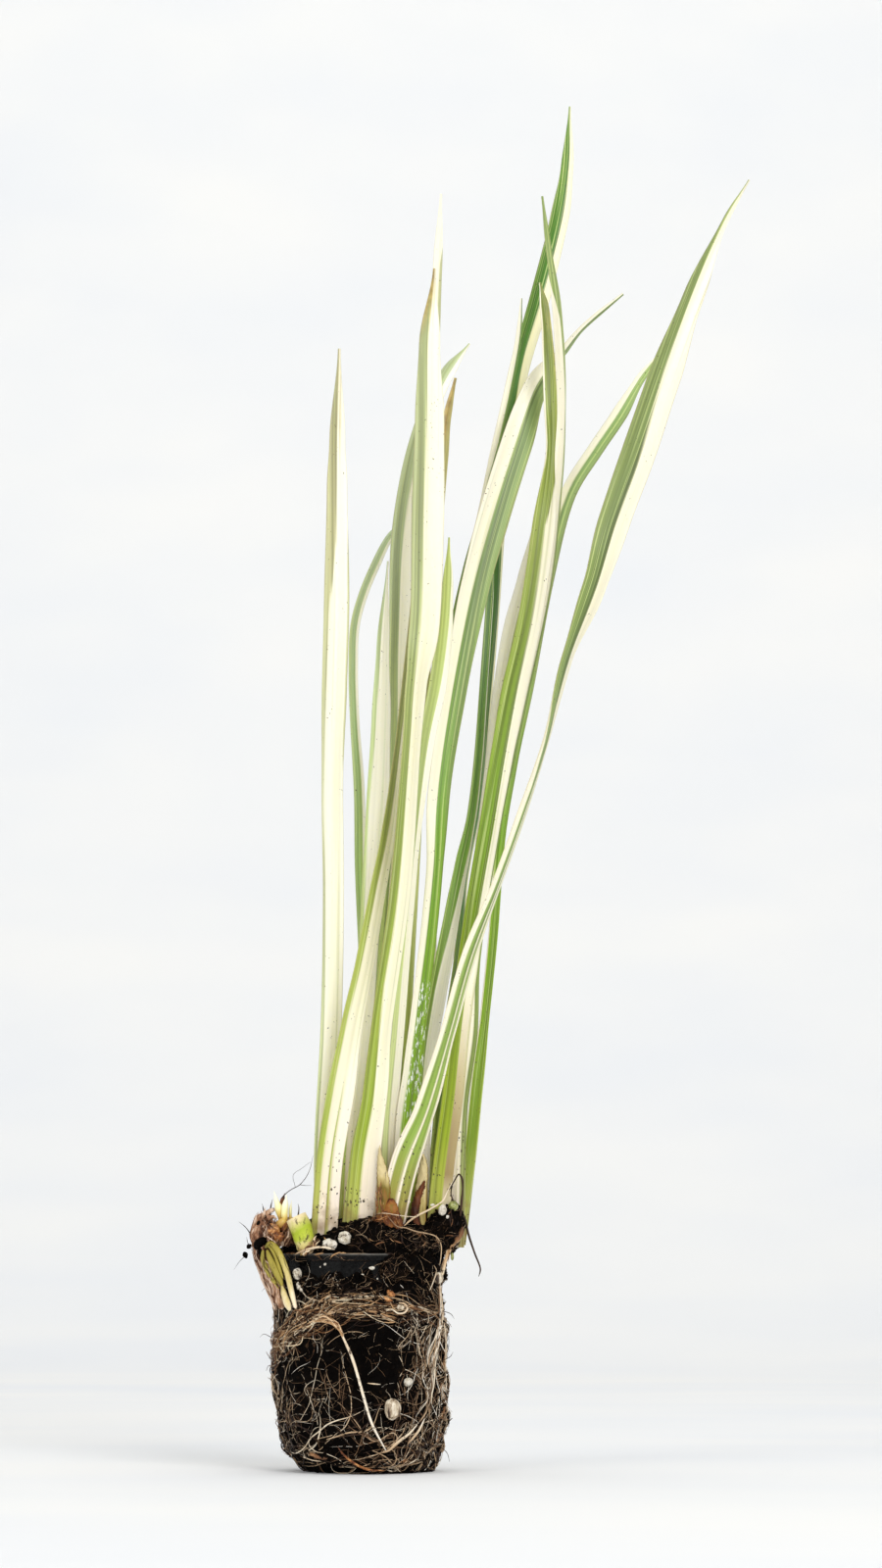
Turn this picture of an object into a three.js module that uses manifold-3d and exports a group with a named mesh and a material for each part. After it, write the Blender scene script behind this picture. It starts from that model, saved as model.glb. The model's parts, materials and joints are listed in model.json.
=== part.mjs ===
// A variegated sweet flag in the small net pot that its roots have overgrown.
// Millimetres, +Z up. The origin is on the floor, under the middle of the pot, and the front is -Y.
import * as THREE from 'three';
import { mergeVertices } from 'three/addons/utils/BufferGeometryUtils.js';
import Module from 'manifold-3d';

const wasm = await Module();
wasm.setup();

// Driving dimensions
const gap = 0.3; // air between pieces that touch
const rimRadius = 25;
const rimTop = 65;
const rimDepth = 2;
const collarRadius = 23.8;
const collarBottom = 56;
const footRadius = 19;
const footZ = 9; // the roots under the pot lift it this far
const potWall = 1.2;
const potSides = 30;
const windowColumns = 10;
const windowRows = 2;
const windowWidth = 8.4;
const windowHeight = 18;
const windowPitch = 20.5;
const windowFirstZ = 22.8;
const footHoleCount = 6;
const footHoleRadius = 2.6;
const footHoleCircle = 11;
const matRadius = 25.6; // the overgrown pot is about 52 across
const matFootRadius = 19;
const matFootX = 4; // the roots hang lower on the right, so the foot is off the pot's axis
const matTop = 57;
const moundTop = 77;
const plugFloor = 10.6;

// Each leaf as stations from inside the soil to the tip: x, y, z, blade width, turn about Z in degrees
const leafStations = {
  leaf_01: [
    [-9.5, -8, 66, 6, 0], [-10.5, -8.5, 93, 6, 5], [-8.5, -6, 133, 6.5, 10], [-8, -3, 174, 6.5, 10],
    [-8.5, -1, 209, 7, 20], [-8, 1, 240, 8, 15], [-7.5, 3, 265, 8, 10], [-7.5, 5, 302, 6.5, 5],
    [-7.5, 6, 319, 5, 0], [-7, 7, 348, 0.9, 0],
  ],
  leaf_02: [
    [-10.5, -14, 66, 8, 0], [-8.5, -15, 93, 8, 0], [-5.5, -15, 112, 8.5, 0], [-2, -15, 133, 7, 20],
    [2, -14, 153, 6.5, 30], [5.5, -13, 173, 6, 35], [8.5, -12, 190, 6, 48], [10.5, -11, 206, 6, 62],
    [12, -10, 220, 5.5, 70], [15, -9, 244, 5.5, 60], [21, -6, 306, 4.5, 45], [24, -2, 373, 3, 20],
    [25, 0, 396, 0.7, 0],
  ],
  leaf_03: [
    [-0.4, -12, 66, 10.4, 0], [2, -14, 93, 9.1, 0], [5, -16, 112, 7.8, 15], [7, -17, 133, 7.5, 35],
    [12.5, -19, 173, 8, 40], [16, -21, 218, 8.5, 50], [17.5, -22, 237, 9, 45], [20, -23, 255, 9.5, 15],
    [21, -24, 290, 10, 0], [21.5, -24, 318, 9, 0], [21.5, -24, 342, 6.5, 0], [23, -23, 366, 0.9, 0],
  ],
  leaf_04: [
    [14.5, -9, 66, 7.5, 0], [14.5, -9, 103, 7, 20], [16.5, -8, 121, 7, 35], [18.5, -8, 139, 7, 45],
    [21, -7, 160, 7, 45], [23, -6, 181, 7, 45], [24.5, -5, 207, 7, 10], [29.5, -4, 239, 7.5, 0],
    [35.5, -2, 270, 9, 0], [41.5, 0, 293, 10, 0], [48.5, 3, 316, 10, 0], [55, 8, 336, 8, 25],
    [64, 13, 349, 5.5, 70], [70, 16, 357, 3.5, 70], [83, 20, 369, 0.9, 40],
  ],
  leaf_05: [
    [8.5, -15, 66, 8, 0], [13.8, -16, 91, 8.5, 0], [20.5, -18, 109, 8, 35], [27, -21, 131, 7.5, 52],
    [33.5, -24, 154, 7.5, 52], [42, -27, 176, 7.5, 68], [48.5, -29, 194, 8, 70], [56.5, -31, 218, 8.5, 79],
    [63, -33, 243, 9, 68], [71, -34, 264, 9.5, 40], [77.5, -35, 285, 10, 12], [85, -36, 306, 10.5, 0],
    [92.5, -37, 328, 10, 0], [101.5, -37, 353, 6.5, 0], [111.5, -37, 377, 2, 0], [119, -37, 390, 0.6, 0],
  ],
  leaf_06: [
    [22, 6, 66, 5.5, 0], [26.5, 9, 122, 5.5, 30], [30.5, 11, 157, 5.5, 60], [32, 12, 180, 5.5, 62],
    [36.5, 14, 204, 5.5, 70], [39, 16, 236, 5.5, 50], [42, 17, 267, 5.5, 60], [44, 18, 305, 6, 40],
    [49.5, 20, 342, 6, 10], [56.5, 22, 368, 6.5, 0], [63, 23, 395, 6, 0], [65.5, 24, 412, 4, 0],
    [66.5, 25, 432, 0.7, 0],
  ],
  leaf_07: [
    [23.5, -9, 66, 7, 0], [25.5, -10, 89, 6.5, 0], [28.5, -10, 112, 6.5, 5], [31, -10, 136, 6.5, 10],
    [35, -10, 166, 6.5, 10], [40, -10, 196, 6.5, 10], [43.5, -9, 216, 7, 0], [47.5, -8, 237, 8, 0],
    [52, -7, 257, 7.5, 5], [56.5, -5, 286, 7.5, 10], [59, -4, 313, 5.5, 60], [59, -3, 332, 4.5, 20],
    [57.5, -2, 358, 3, 0], [56, -2, 367, 0.7, 0],
  ],
  leaf_08: [
    [29, -4, 67, 6, 0], [30.5, -4, 109, 5.5, 15], [33.5, -4, 132, 5.5, 10], [34.5, -3, 155, 5.5, 15],
    [41, -2, 197, 5.5, 0], [48.5, 0, 233, 6, 10], [56.5, 2, 271, 6, 10], [60.5, 3, 304, 5.5, 25],
    [62.5, 4, 332, 3.5, 15], [61.5, 5, 360, 3, 0], [59, 6, 380, 2, 20], [57, 6, 397, 0.7, 0],
  ],
  leaf_09: [
    [30, 1, 68, 5, 0], [33.5, 2, 92, 4, 10], [36, 2, 116, 4, 15], [38.5, 3, 138, 4, 45],
    [41, 4, 162, 4, 45], [43.5, 5, 193, 4, 45], [47, 6, 216, 4.5, 40], [52.5, 7, 244, 4.5, 20],
    [58, 8, 275, 5, 10], [65, 9, 302, 5, 0], [73.5, 9, 316, 5, 0], [81, 8, 327, 5, 0],
    [87.5, 7, 338, 3, 0], [93.5, 6, 346, 0.7, 0],
  ],
  leaf_10: [
    [24, 0.5, 66, 4.5, 0], [30.5, 2, 130, 4, 20], [36, 3, 179, 4, 30], [40, 4, 213, 3.5, 20],
    [43, 4, 240, 3.5, 10], [46.5, 4, 259, 4, 0], [50.5, 4, 274, 3.5, 0], [54.5, 4, 293, 0.6, 0],
  ],
  leaf_11: [
    [18, -4, 66, 5.5, 0], [20.5, -3, 121, 5.5, 25], [24, -2, 144, 5.5, 10], [26, -2, 155, 5.5, 10],
    [28.5, -1, 169, 5, 15], [31.3, 0, 184, 4.5, 25], [34.4, 1, 199, 3.5, 35], [36.6, 3, 218, 3.5, 40],
    [38.2, 5, 240, 3, 35], [40, 6, 265, 2.5, 20], [41.5, 7, 289, 0.6, 0],
  ],
  leaf_12: [
    [9, -7, 66, 4.5, 0], [9.5, -9, 102, 4.5, 10], [12, -10, 133, 4, 15], [14.5, -11, 163, 4, 30],
    [17, -11, 190, 4, 40], [20.5, -12, 220, 5, 10], [24, -12, 238, 5.5, 0], [26, -12, 254, 5, 0],
    [27, -12, 268, 3.5, 0], [27.5, -12, 284, 0.6, 0],
  ],
  leaf_13: [
    [11.5, -2, 66, 4.5, 0], [13, -3, 118, 4.5, 10], [16, -3, 178, 4.5, 10], [19.5, -4, 239, 4, 10],
    [23, -4, 282, 4, 10], [25.5, -4, 310, 3.5, 10], [27, -4, 324, 2.5, 0], [29.5, -4, 336, 0.9, 0],
  ],
  leaf_14: [
    [5.5, 1, 66, 5.5, 0], [5.5, 2, 113, 5.5, 10], [7.5, 3, 155, 5.5, 10], [10, 4, 192, 6, 10],
    [11.5, 5, 225, 6, 10], [12, 6, 256, 6.5, 0], [13, 7, 286, 7.5, 0], [15.5, 8, 306, 7, 0],
    [20, 9, 325, 6, 0], [27, 11, 341, 4.5, 0], [34, 13, 351, 0.7, 0],
  ],
  leaf_15: [
    [-4, -6, 66, 5, 0], [-2, -5, 103, 5, 0], [1, -4, 130, 5.5, 0], [2.5, -3, 154, 6, 0],
    [4, -3, 178, 6.5, 0], [5.5, -2, 203, 7, 0], [6.5, -1, 229, 6, 0], [7, 0, 252, 4, 0],
    [8.5, 1, 279, 0.6, 0],
  ],
  leaf_16: [
    [1.5, 6, 66, 4.5, 0], [2, 8, 119, 4, 0], [1.5, 10, 155, 4, 0], [0, 11, 183, 3.5, 10],
    [-0.5, 12, 209, 3.5, 10], [-2, 13, 231, 3, 10], [-2.5, 14, 248, 3, 10], [-2, 15, 261, 3, 10],
    [0.5, 16, 271, 3, 0], [4.5, 17, 281, 3, 0], [9, 18, 290, 2.5, 0], [15, 19, 296, 0.6, 0],
  ],
  leaf_17: [
    [18, 3, 66, 4, 0], [21, 5, 134, 4, 20], [23, 7, 194, 4, 30], [26, 8, 235, 3.5, 30],
    [29.5, 9, 260, 3.5, 20], [33.5, 10, 278, 3.5, 10], [37.5, 11, 294, 3, 10], [41.5, 12, 314, 3, 20],
    [46.5, 13, 337, 3, 30], [49.5, 14, 353, 2, 20], [50.5, 14, 366, 0.6, 0],
  ],
};
const leafColours = {
  leaf_01: '#e4e4bd', leaf_02: '#d9dfae', leaf_03: '#cfd6ac', leaf_04: '#c3d08a', leaf_05: '#a9be7c',
  leaf_06: '#6f9a48', leaf_07: '#a8c25c', leaf_08: '#dcdcae', leaf_09: '#86ad4b', leaf_10: '#e9e8c4',
  leaf_11: '#8fb257', leaf_12: '#c5d88f', leaf_13: '#cdbf8f', leaf_14: '#b9c59a', leaf_15: '#e0e6b4',
  leaf_16: '#9fb877', leaf_17: '#6f9650',
};
const ridgeShare = 0.11; // the blade's middle is this share of its width thick, over the edge
const ridgeLeast = 0.6;
const stepsPerStation = 2;

// Rods: centre points with a radius at each. Buds, roots, shoots and rhizomes are all made this way.
const rhizomePaths = [
  [
    [-31.5, -6, 71, 2.4], [-29.5, -6.5, 71, 4.2], [-26.5, -7.5, 70.5, 4.8], [-24, -8, 71, 3.8],
    [-21, -8.5, 71.5, 4.6], [-17.5, -8.5, 71, 4.2], [-14, -8, 70, 3.4],
  ],
  [[-30, -9.4, 66.6, 1.8], [-29.2, -9.6, 70.6, 3.4], [-27.6, -9.6, 75, 3.6], [-26.8, -9.4, 78.2, 2.4]],
  [[-30.8, -9.4, 68, 1.6], [-29.9, -11.4, 63.6, 1.5], [-27.2, -14.4, 57, 1.5], [-24.4, -17.2, 50.6, 1]],
];
const knobPath = [
  [-24.2, -14.6, 68.4, 0.8], [-24.6, -14.8, 70, 1.5], [-25.5, -14.8, 72, 1.9], [-26.2, -14.6, 74.2, 1],
];
const budPaths = [
  [[-23.2, -12.8, 75, 0.9], [-23.7, -12.9, 78.2, 1.35], [-24.5, -13, 80.6, 0.8], [-25.2, -13, 83.2, 0.25]],
  [[-21.8, -13.8, 74.6, 0.8], [-22.1, -14, 76.6, 1.1], [-21.9, -14.2, 79, 1.1], [-21.6, -14.2, 82.2, 0.25]],
  [[-20.4, -12, 75.4, 0.6], [-20.4, -12, 78, 0.6], [-20.1, -12, 80.6, 0.25]],
];
const huskPath = [
  [-22.9, -11, 75.6, 0.7], [-23, -11, 79, 1.1], [-22.8, -11, 81, 0.8], [-22.2, -11, 82.8, 0.25],
];
const stubPath = [
  [-16.2, -17.4, 65.4, 2.8], [-16.7, -17.4, 69, 3.3], [-17.4, -17.2, 73, 3.1], [-18.4, -17, 76.4, 2.6],
];
const shootPaths = [
  [
    [-27.8, -15.4, 67.2, 0.9], [-25.8, -16.2, 67.8, 1], [-23.4, -18, 65, 1], [-21.4, -19.8, 61.2, 1],
    [-19.6, -21.4, 55.6, 1], [-18.2, -22.4, 49.7, 0.9],
  ],
  [[-26.4, -15.8, 67.4, 1], [-25.8, -16.4, 64.6, 1.2], [-24, -17.8, 60.8, 1.3], [-22.2, -19, 56, 0.9]],
  [[-28, -15.2, 67.2, 0.9], [-28.3, -15, 64.4, 0.9], [-27, -15.6, 61, 0.9], [-25.4, -16.6, 58.6, 0.6]],
  [[-22.4, -18.8, 57, 0.9], [-21.5, -20, 53, 1], [-20.3, -21, 48.5, 0.9]],
];
const edgeRootPath = [
  [31.6, -9, 73.6, 0.8], [31.2, -8.6, 71, 1.2], [29.4, -7.6, 69, 1.2], [27.6, -6.6, 67.2, 1],
  [26.8, -6, 64.4, 0.9], [26.2, -5.8, 61, 0.7], [25.4, -6.4, 58.6, 0.5],
];
const hangingRootPath = [
  [31, -4, 78.6, 0.6], [32.2, -5, 75.4, 0.7], [33.4, -5, 70.6, 0.7], [35.2, -5.4, 65.2, 0.6],
  [36.9, -6, 60.4, 0.5], [36.4, -6.2, 58.2, 0.4],
];
const curlPath = [
  [9.5, -20.5, 75.6, 0.5], [14.5, -21.8, 72.4, 0.6], [20.4, -20.2, 71, 0.6], [24.2, -17, 69, 0.6],
  [25.2, -14.8, 62.6, 0.4],
];
const paleRootPath = [
  [-4.8, -27.4, 42, 0.5], [-1.6, -27.6, 33, 0.5], [1.6, -27.4, 24, 0.5], [4.6, -26.6, 15, 0.5],
  [9, -25, 6.6, 0.4],
];
// Thick roots grown into the mat: start and end angle in degrees, start and end height, rise, radius
const matRoots = [
  [-152, -62, 42, 49, 7, 1.2], [-146, -64, 38, 45, 6, 1], [-64, 12, 50, 40, 1, 0.9], [-30, 40, 12, 36, 3, 1.1],
  [-36, -6, 8, 44, 0, 0.9], [-52, 4, 6, 18, -2, 1.2], [-130, -40, 6, 5, -2, 1.3], [20, 88, 48, 22, 4, 1.1],
  [100, 182, 46, 34, 4, 1.2], [150, 214, 12, 44, 0, 1],
];
// Pumice grains: centre and radii
const grains = [
  [-8.2, -22.4, 67.8, 2.1, 1.6, 1.5], [-3.8, -21.6, 69.6, 1.8, 1.6, 2], [-18, -19.2, 59.2, 1.3, 1.1, 1.6],
  [10.7, -25.2, 19.2, 2.4, 1.7, 3.2], [15.2, -22.4, 27, 1.1, 1, 1.1], [25.4, -13, 78, 1.1, 1, 1.5],
];

// A small even wobble that repeats round the circle, so surfaces look grown and not turned
function wobble(angle, height, seed) {
  const slow = 0.5 * Math.sin(3 * angle + 0.21 * height + seed);
  const middling = 0.3 * Math.sin(7 * angle - 0.37 * height + 2 * seed);
  return slow + middling + 0.2 * Math.sin(11 * angle + 0.53 * height + 3 * seed);
}

function toSolid(geometry) {
  const bare = geometry.clone();
  bare.deleteAttribute('normal');
  bare.deleteAttribute('uv');
  const merged = mergeVertices(bare, 1e-4);
  const corners = merged.index.array;
  const kept = [];
  for (let i = 0; i < corners.length; i += 3) {
    const [a, b, c] = [corners[i], corners[i + 1], corners[i + 2]];
    if (a !== b && b !== c && c !== a) kept.push(a, b, c);
  }
  const vertProperties = new Float32Array(merged.attributes.position.array);
  const triVerts = new Uint32Array(kept);
  return new wasm.Manifold(new wasm.Mesh({ numProp: 3, vertProperties, triVerts }));
}

function toGeometry(solid) {
  const mesh = solid.getMesh();
  const geometry = new THREE.BufferGeometry();
  geometry.setAttribute('position', new THREE.BufferAttribute(mesh.vertProperties, 3));
  geometry.setIndex(new THREE.BufferAttribute(mesh.triVerts, 1));
  geometry.computeVertexNormals();
  return geometry;
}

// Joins rings of equal point count into one closed skin, ends filled, faces outwards
function skin(rings) {
  const count = rings[0].length;
  const points = rings.flat();
  const faces = [];
  for (let i = 0; i < rings.length - 1; i += 1) {
    for (let j = 0; j < count; j += 1) {
      const a = i * count + j;
      const b = i * count + ((j + 1) % count);
      faces.push(a, b, b + count, a, b + count, a + count);
    }
  }
  const last = (rings.length - 1) * count;
  for (let j = 1; j < count - 1; j += 1) {
    faces.push(0, j + 1, j, last, last + j, last + j + 1);
  }
  let volume = 0;
  for (let i = 0; i < faces.length; i += 3) {
    const [a, b, c] = [points[faces[i]], points[faces[i + 1]], points[faces[i + 2]]];
    volume += a.dot(new THREE.Vector3().crossVectors(b, c));
  }
  if (volume < 0) faces.reverse();
  const geometry = new THREE.BufferGeometry().setFromPoints(points);
  geometry.setIndex(faces);
  return toSolid(geometry);
}

// A sword-shaped blade, thick along its middle and sharp at both edges. Grown makes it larger all round.
function makeBlade(stations, grown = 0) {
  const curve = new THREE.CatmullRomCurve3(stations.map(([x, y, z]) => new THREE.Vector3(x, y, z)));
  const steps = (stations.length - 1) * stepsPerStation;
  const rings = [];
  for (let i = 0; i <= steps; i += 1) {
    const u = i / steps;
    const along = u * (stations.length - 1);
    const from = Math.min(Math.floor(along), stations.length - 2);
    const part = along - from;
    const width = THREE.MathUtils.lerp(stations[from][3], stations[from + 1][3], part);
    const degrees = THREE.MathUtils.lerp(stations[from][4], stations[from + 1][4], part);
    const turn = THREE.MathUtils.degToRad(degrees);
    const centre = curve.getPoint(u);
    const forward = curve.getTangent(u);
    const across = new THREE.Vector3(Math.cos(turn), Math.sin(turn), 0);
    across.addScaledVector(forward, -across.dot(forward)).normalize();
    const out = new THREE.Vector3().crossVectors(across, forward);
    const ridge = Math.min(ridgeLeast + ridgeShare * width, width) / 2 + grown;
    const half = width / 2 + 2 * grown;
    if (i === 0) centre.addScaledVector(forward, -grown);
    rings.push([
      centre.clone().addScaledVector(across, -half),
      centre.clone().addScaledVector(out, ridge),
      centre.clone().addScaledVector(across, half),
      centre.clone().addScaledVector(out, -ridge),
    ]);
  }
  return skin(rings);
}

// A root, bud or shoot: a lumpy rod through the points, with a radius at each
function makeRod(path, grown = 0, sides = 6, lumps = 0.12) {
  const curve = new THREE.CatmullRomCurve3(path.map(([x, y, z]) => new THREE.Vector3(x, y, z)));
  const steps = (path.length - 1) * 2;
  const rings = [];
  let across = new THREE.Vector3(0.3, 1, 0.2);
  for (let i = 0; i <= steps; i += 1) {
    const u = i / steps;
    const along = u * (path.length - 1);
    const from = Math.min(Math.floor(along), path.length - 2);
    const radius = THREE.MathUtils.lerp(path[from][3], path[from + 1][3], along - from);
    const centre = curve.getPoint(u);
    const forward = curve.getTangent(u);
    across = across.clone().addScaledVector(forward, -across.dot(forward)).normalize();
    const out = new THREE.Vector3().crossVectors(forward, across);
    if (i === 0) centre.addScaledVector(forward, -grown);
    if (i === steps) centre.addScaledVector(forward, grown);
    const ring = [];
    for (let j = 0; j < sides; j += 1) {
      const angle = (2 * Math.PI * j) / sides;
      const size = radius * (1 + lumps * wobble(angle, 9 * i, 1)) + grown;
      ring.push(centre.clone().addScaledVector(across, size * Math.cos(angle))
        .addScaledVector(out, size * Math.sin(angle)));
    }
    rings.push(ring);
  }
  return skin(rings);
}

// An angular stone with a few dozen faces
function makeGrain([x, y, z, rx, ry, rz], grown = 0) {
  const geometry = new THREE.IcosahedronGeometry(1, 1);
  const position = geometry.attributes.position;
  for (let i = 0; i < position.count; i += 1) {
    const direction = new THREE.Vector3().fromBufferAttribute(position, i).normalize();
    const size = 1 + 0.16 * wobble(2 * direction.x + 3 * direction.y, 9 * direction.z, x);
    position.setXYZ(i, x + direction.x * (rx * size + grown), y + direction.y * (ry * size + grown),
      z + direction.z * (rz * size + grown));
  }
  return toSolid(geometry);
}

function revolve(profile, sides) {
  const points = profile.map(([radius, height]) => new THREE.Vector2(radius, height));
  return toSolid(new THREE.LatheGeometry(points, sides).rotateX(Math.PI / 2));
}

function potOutside(grown) {
  return [
    [0, footZ - grown], [footRadius - 1 + grown, footZ - grown], [footRadius + grown, footZ + 1],
    [collarRadius - 0.8 + grown, collarBottom - grown], [collarRadius + grown, collarBottom],
    [collarRadius + grown, rimTop - rimDepth - grown], [rimRadius + grown, rimTop - rimDepth - grown],
    [rimRadius + grown, rimTop + grown],
  ];
}

// The cup alone, without its windows
function makePotWall(grown = 0) {
  return revolve([
    ...potOutside(grown),
    [collarRadius - potWall - grown, rimTop + grown],
    [collarRadius - potWall - grown, collarBottom],
    [footRadius - potWall - grown, footZ + potWall + grown], [0, footZ + potWall + grown],
  ], potSides);
}

// The space that the cup takes with everything in it
function makePotSpace(grown) {
  return revolve([...potOutside(grown), [0, rimTop + grown]], potSides);
}

function makePot() {
  let pot = makePotWall();
  for (let column = 0; column < windowColumns; column += 1) {
    for (let row = 0; row < windowRows; row += 1) {
      const cutter = new THREE.BoxGeometry(rimRadius, windowWidth, windowHeight);
      cutter.translate(rimRadius / 2 + 8, 0, windowFirstZ + row * windowPitch);
      cutter.rotateZ((2 * Math.PI * column) / windowColumns);
      pot = pot.subtract(toSolid(cutter));
    }
  }
  for (let hole = 0; hole < footHoleCount; hole += 1) {
    const cutter = new THREE.CylinderGeometry(footHoleRadius, footHoleRadius, 4 * potWall, 8);
    cutter.rotateX(Math.PI / 2);
    cutter.translate(footHoleCircle, 0, footZ + potWall / 2);
    cutter.rotateZ((2 * Math.PI * (hole + 0.5)) / footHoleCount);
    pot = pot.subtract(toSolid(cutter));
  }
  return pot;
}

// Rings of uneven circles stacked up Z: each is height, radius, centre x, wobble size
function makeStack(levels, sides, seed) {
  return skin(levels.map(([height, radius, middle, rough, stretch = 0]) => {
    const ring = [];
    for (let j = 0; j < sides; j += 1) {
      const angle = (2 * Math.PI * j) / sides;
      const size = radius + rough * wobble(angle, height, seed) + stretch * Math.max(0, Math.cos(angle)) ** 2;
      ring.push(new THREE.Vector3(middle + size * Math.cos(angle), size * Math.sin(angle), height));
    }
    return ring;
  }));
}

function makeSoil() {
  const inside = collarRadius - potWall - 2 * gap;
  const plug = makeStack([
    [plugFloor, footRadius - potWall - 1, 0, 0], [collarBottom, inside, 0, 0], [rimTop - 1, inside, 0, 0],
    [rimTop + 1, inside + 1.6, 0, 0.6, 6], [rimTop + 4, inside, 1, 1, 8],
    [rimTop + 7, inside - 3.5, 1.5, 1.4, 9], [rimTop + 9.5, inside - 8, 2, 1.6, 9],
    [moundTop - 1, inside - 13, 4, 1.2, 8], [moundTop, 4, 6, 0.6, 4],
  ], 24, 2);
  const lumps = [
    [25.8, -5, 74, 6.4, 8.5, 8.3], [26.5, 3, 73, 5.4, 7, 8], [4, -15.5, 71.5, 8, 4.4, 4.6],
    [-14, 4, 71, 5, 7, 4.5], [4, 14, 72, 8, 4, 5],
  ];
  return lumps.reduce((body, lump) => body.add(makeGrain(lump)), plug);
}

// A root that runs round the mat, half sunk in it
function makeMatRoot([startAngle, endAngle, startZ, endZ, rise, radius]) {
  const path = [];
  const points = 5;
  for (let i = 0; i < points; i += 1) {
    const part = i / (points - 1);
    const angle = THREE.MathUtils.degToRad(THREE.MathUtils.lerp(startAngle, endAngle, part));
    const height = THREE.MathUtils.lerp(startZ, endZ, part) + rise * Math.sin(Math.PI * part);
    const out = matRadius + 0.5 - Math.max(0, 16 - height) * 0.14;
    path.push([0.6 + out * Math.cos(angle), out * Math.sin(angle), Math.max(height, radius + 0.2), radius]);
  }
  return makeRod(path, 0, 5);
}

function makeRootMat() {
  const felt = makeStack([
    [0, matFootRadius, matFootX, 0.6], [2, matFootRadius + 2, matFootX - 0.6, 0.8],
    [6, matRadius - 2, 1.6, 0.9], [14, matRadius - 0.6, 0.8, 0.9], [26, matRadius, 0.4, 0.9],
    [38, matRadius, 0, 0.9], [48, matRadius - 0.2, 0, 0.9], [matTop - 2.5, matRadius - 0.6, 0, 0.8],
    [matTop, matRadius - 1.6, 0, 0.7],
  ], 26, 5);
  return matRoots.map(makeMatRoot).reduce((body, root) => body.add(root), felt).subtract(makePotSpace(gap));
}

// Dry leaf sheaths as thin flaps that hug a leaf's foot. Each row is height, left edge, right edge and front.
const sheaths = [
  [
    [
      [71, 5.4, 9.2, -16.9], [76, 5.6, 9.4, -16.9], [84.4, 6.2, 9.8, -16.8], [88.8, 5.8, 9.2, -16.7],
      [91.8, 5.9, 8.4, -16.7], [94.7, 6.1, 7.4, -16.6], [97.2, 6.3, 6.7, -16.6],
    ],
    [
      [70, 5.6, 13.4, -17.2], [73.4, 5.3, 13.6, -17.6], [76.1, 5.9, 13.3, -17.8], [78.1, 7.4, 12.6, -17.6],
      [80, 8.3, 12.1, -17.5], [81.7, 9.6, 10.8, -17.3],
    ],
  ],
  [
    [
      [71, 15.6, 19.6, -12.6], [77.6, 15.9, 18.4, -12.6], [79.9, 16.2, 18.9, -12.6], [82.9, 17.2, 19.6, -12.5],
      [85.2, 18.4, 20.2, -12.4], [86.7, 19.6, 20.2, -12.4],
    ],
    [
      [71, 16.4, 20.4, -12], [84.4, 17.2, 20.7, -12], [88.8, 18.1, 21, -12], [91.8, 18.6, 20.9, -11.9],
      [94.7, 19.2, 20, -11.8],
    ],
  ],
];
const flapColumns = 4;
const flapBulge = 0.9;
const flapThickness = 0.8;

function makeFlap(rows, grown) {
  return skin(rows.map(([height, left, right, front], i) => {
    const lift = (i === rows.length - 1) - (i === 0);
    const outer = [];
    const inner = [];
    for (let j = 0; j <= flapColumns; j += 1) {
      const across = (2 * j) / flapColumns - 1;
      const x = (left + right) / 2 + across * ((right - left) / 2 + grown);
      const y = front + flapBulge * across * across;
      outer.push(new THREE.Vector3(x, y - grown, height + lift * grown));
      inner.unshift(new THREE.Vector3(x, y + flapThickness + grown, height + lift * grown));
    }
    return [...outer, ...inner];
  }));
}

function makeSheath(flaps, grown = 0) {
  return flaps.map((rows) => makeFlap(rows, grown)).reduce((body, flap) => body.add(flap));
}

// Several rods that part from one foot
function makeRods(paths, grown = 0, sides = 5, lumps = 0.1) {
  return paths.map((path) => makeRod(path, grown, sides, lumps)).reduce((body, rod) => body.add(rod));
}

const plant = new THREE.Group();
const taken = [];

// Cuts away what earlier pieces take, keeps the one main body, and adds it under its name
function place(name, colour, roughness, solid, grown) {
  const box = solid.boundingBox();
  let cut = solid;
  for (const other of taken) {
    const near = [0, 1, 2].every((k) => other.box.min[k] <= box.max[k] && other.box.max[k] >= box.min[k]);
    if (near) cut = cut.subtract(other.solid);
  }
  const bodies = cut.decompose().sort((a, b) => b.volume() - a.volume());
  const material = new THREE.MeshStandardMaterial({ color: colour, roughness, metalness: 0 });
  const mesh = new THREE.Mesh(toGeometry(bodies[0]), material);
  mesh.name = name;
  plant.add(mesh);
  if (grown) taken.push({ solid: grown, box: grown.boundingBox() });
}

for (const [name, stations] of Object.entries(leafStations)) {
  place(name, leafColours[name], 0.45, makeBlade(stations));
}
for (const stations of Object.values(leafStations)) {
  const grown = makeBlade(stations, gap);
  taken.push({ solid: grown, box: grown.boundingBox() });
}
grains.forEach((grain, i) => {
  place(`grain_${i + 1}`, '#c9c4ba', 0.9, makeGrain(grain), makeGrain(grain, gap));
});
place('rhizome_left', '#6b4a38', 0.75, makeRods(rhizomePaths, 0, 8, 0.2), makeRods(rhizomePaths, gap, 8, 0.2));
place('root_knob', '#b46a3c', 0.6, makeRod(knobPath), makeRod(knobPath, gap));
budPaths.forEach((path, i) => place(`bud_${i + 1}`, '#f3edb0', 0.4, makeRod(path), makeRod(path, gap)));
place('husk', '#b46a3c', 0.6, makeRod(huskPath), makeRod(huskPath, gap));
place('cut_stub', '#b9b45a', 0.5, makeRod(stubPath, 0, 8), makeRod(stubPath, gap, 8));
place('bent_shoot', '#a9a84e', 0.5, makeRods(shootPaths), makeRods(shootPaths, gap));
sheaths.forEach((sheath, i) => {
  place(`sheath_${i + 1}`, '#a8683c', 0.7, makeSheath(sheath), makeSheath(sheath, gap));
});
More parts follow.
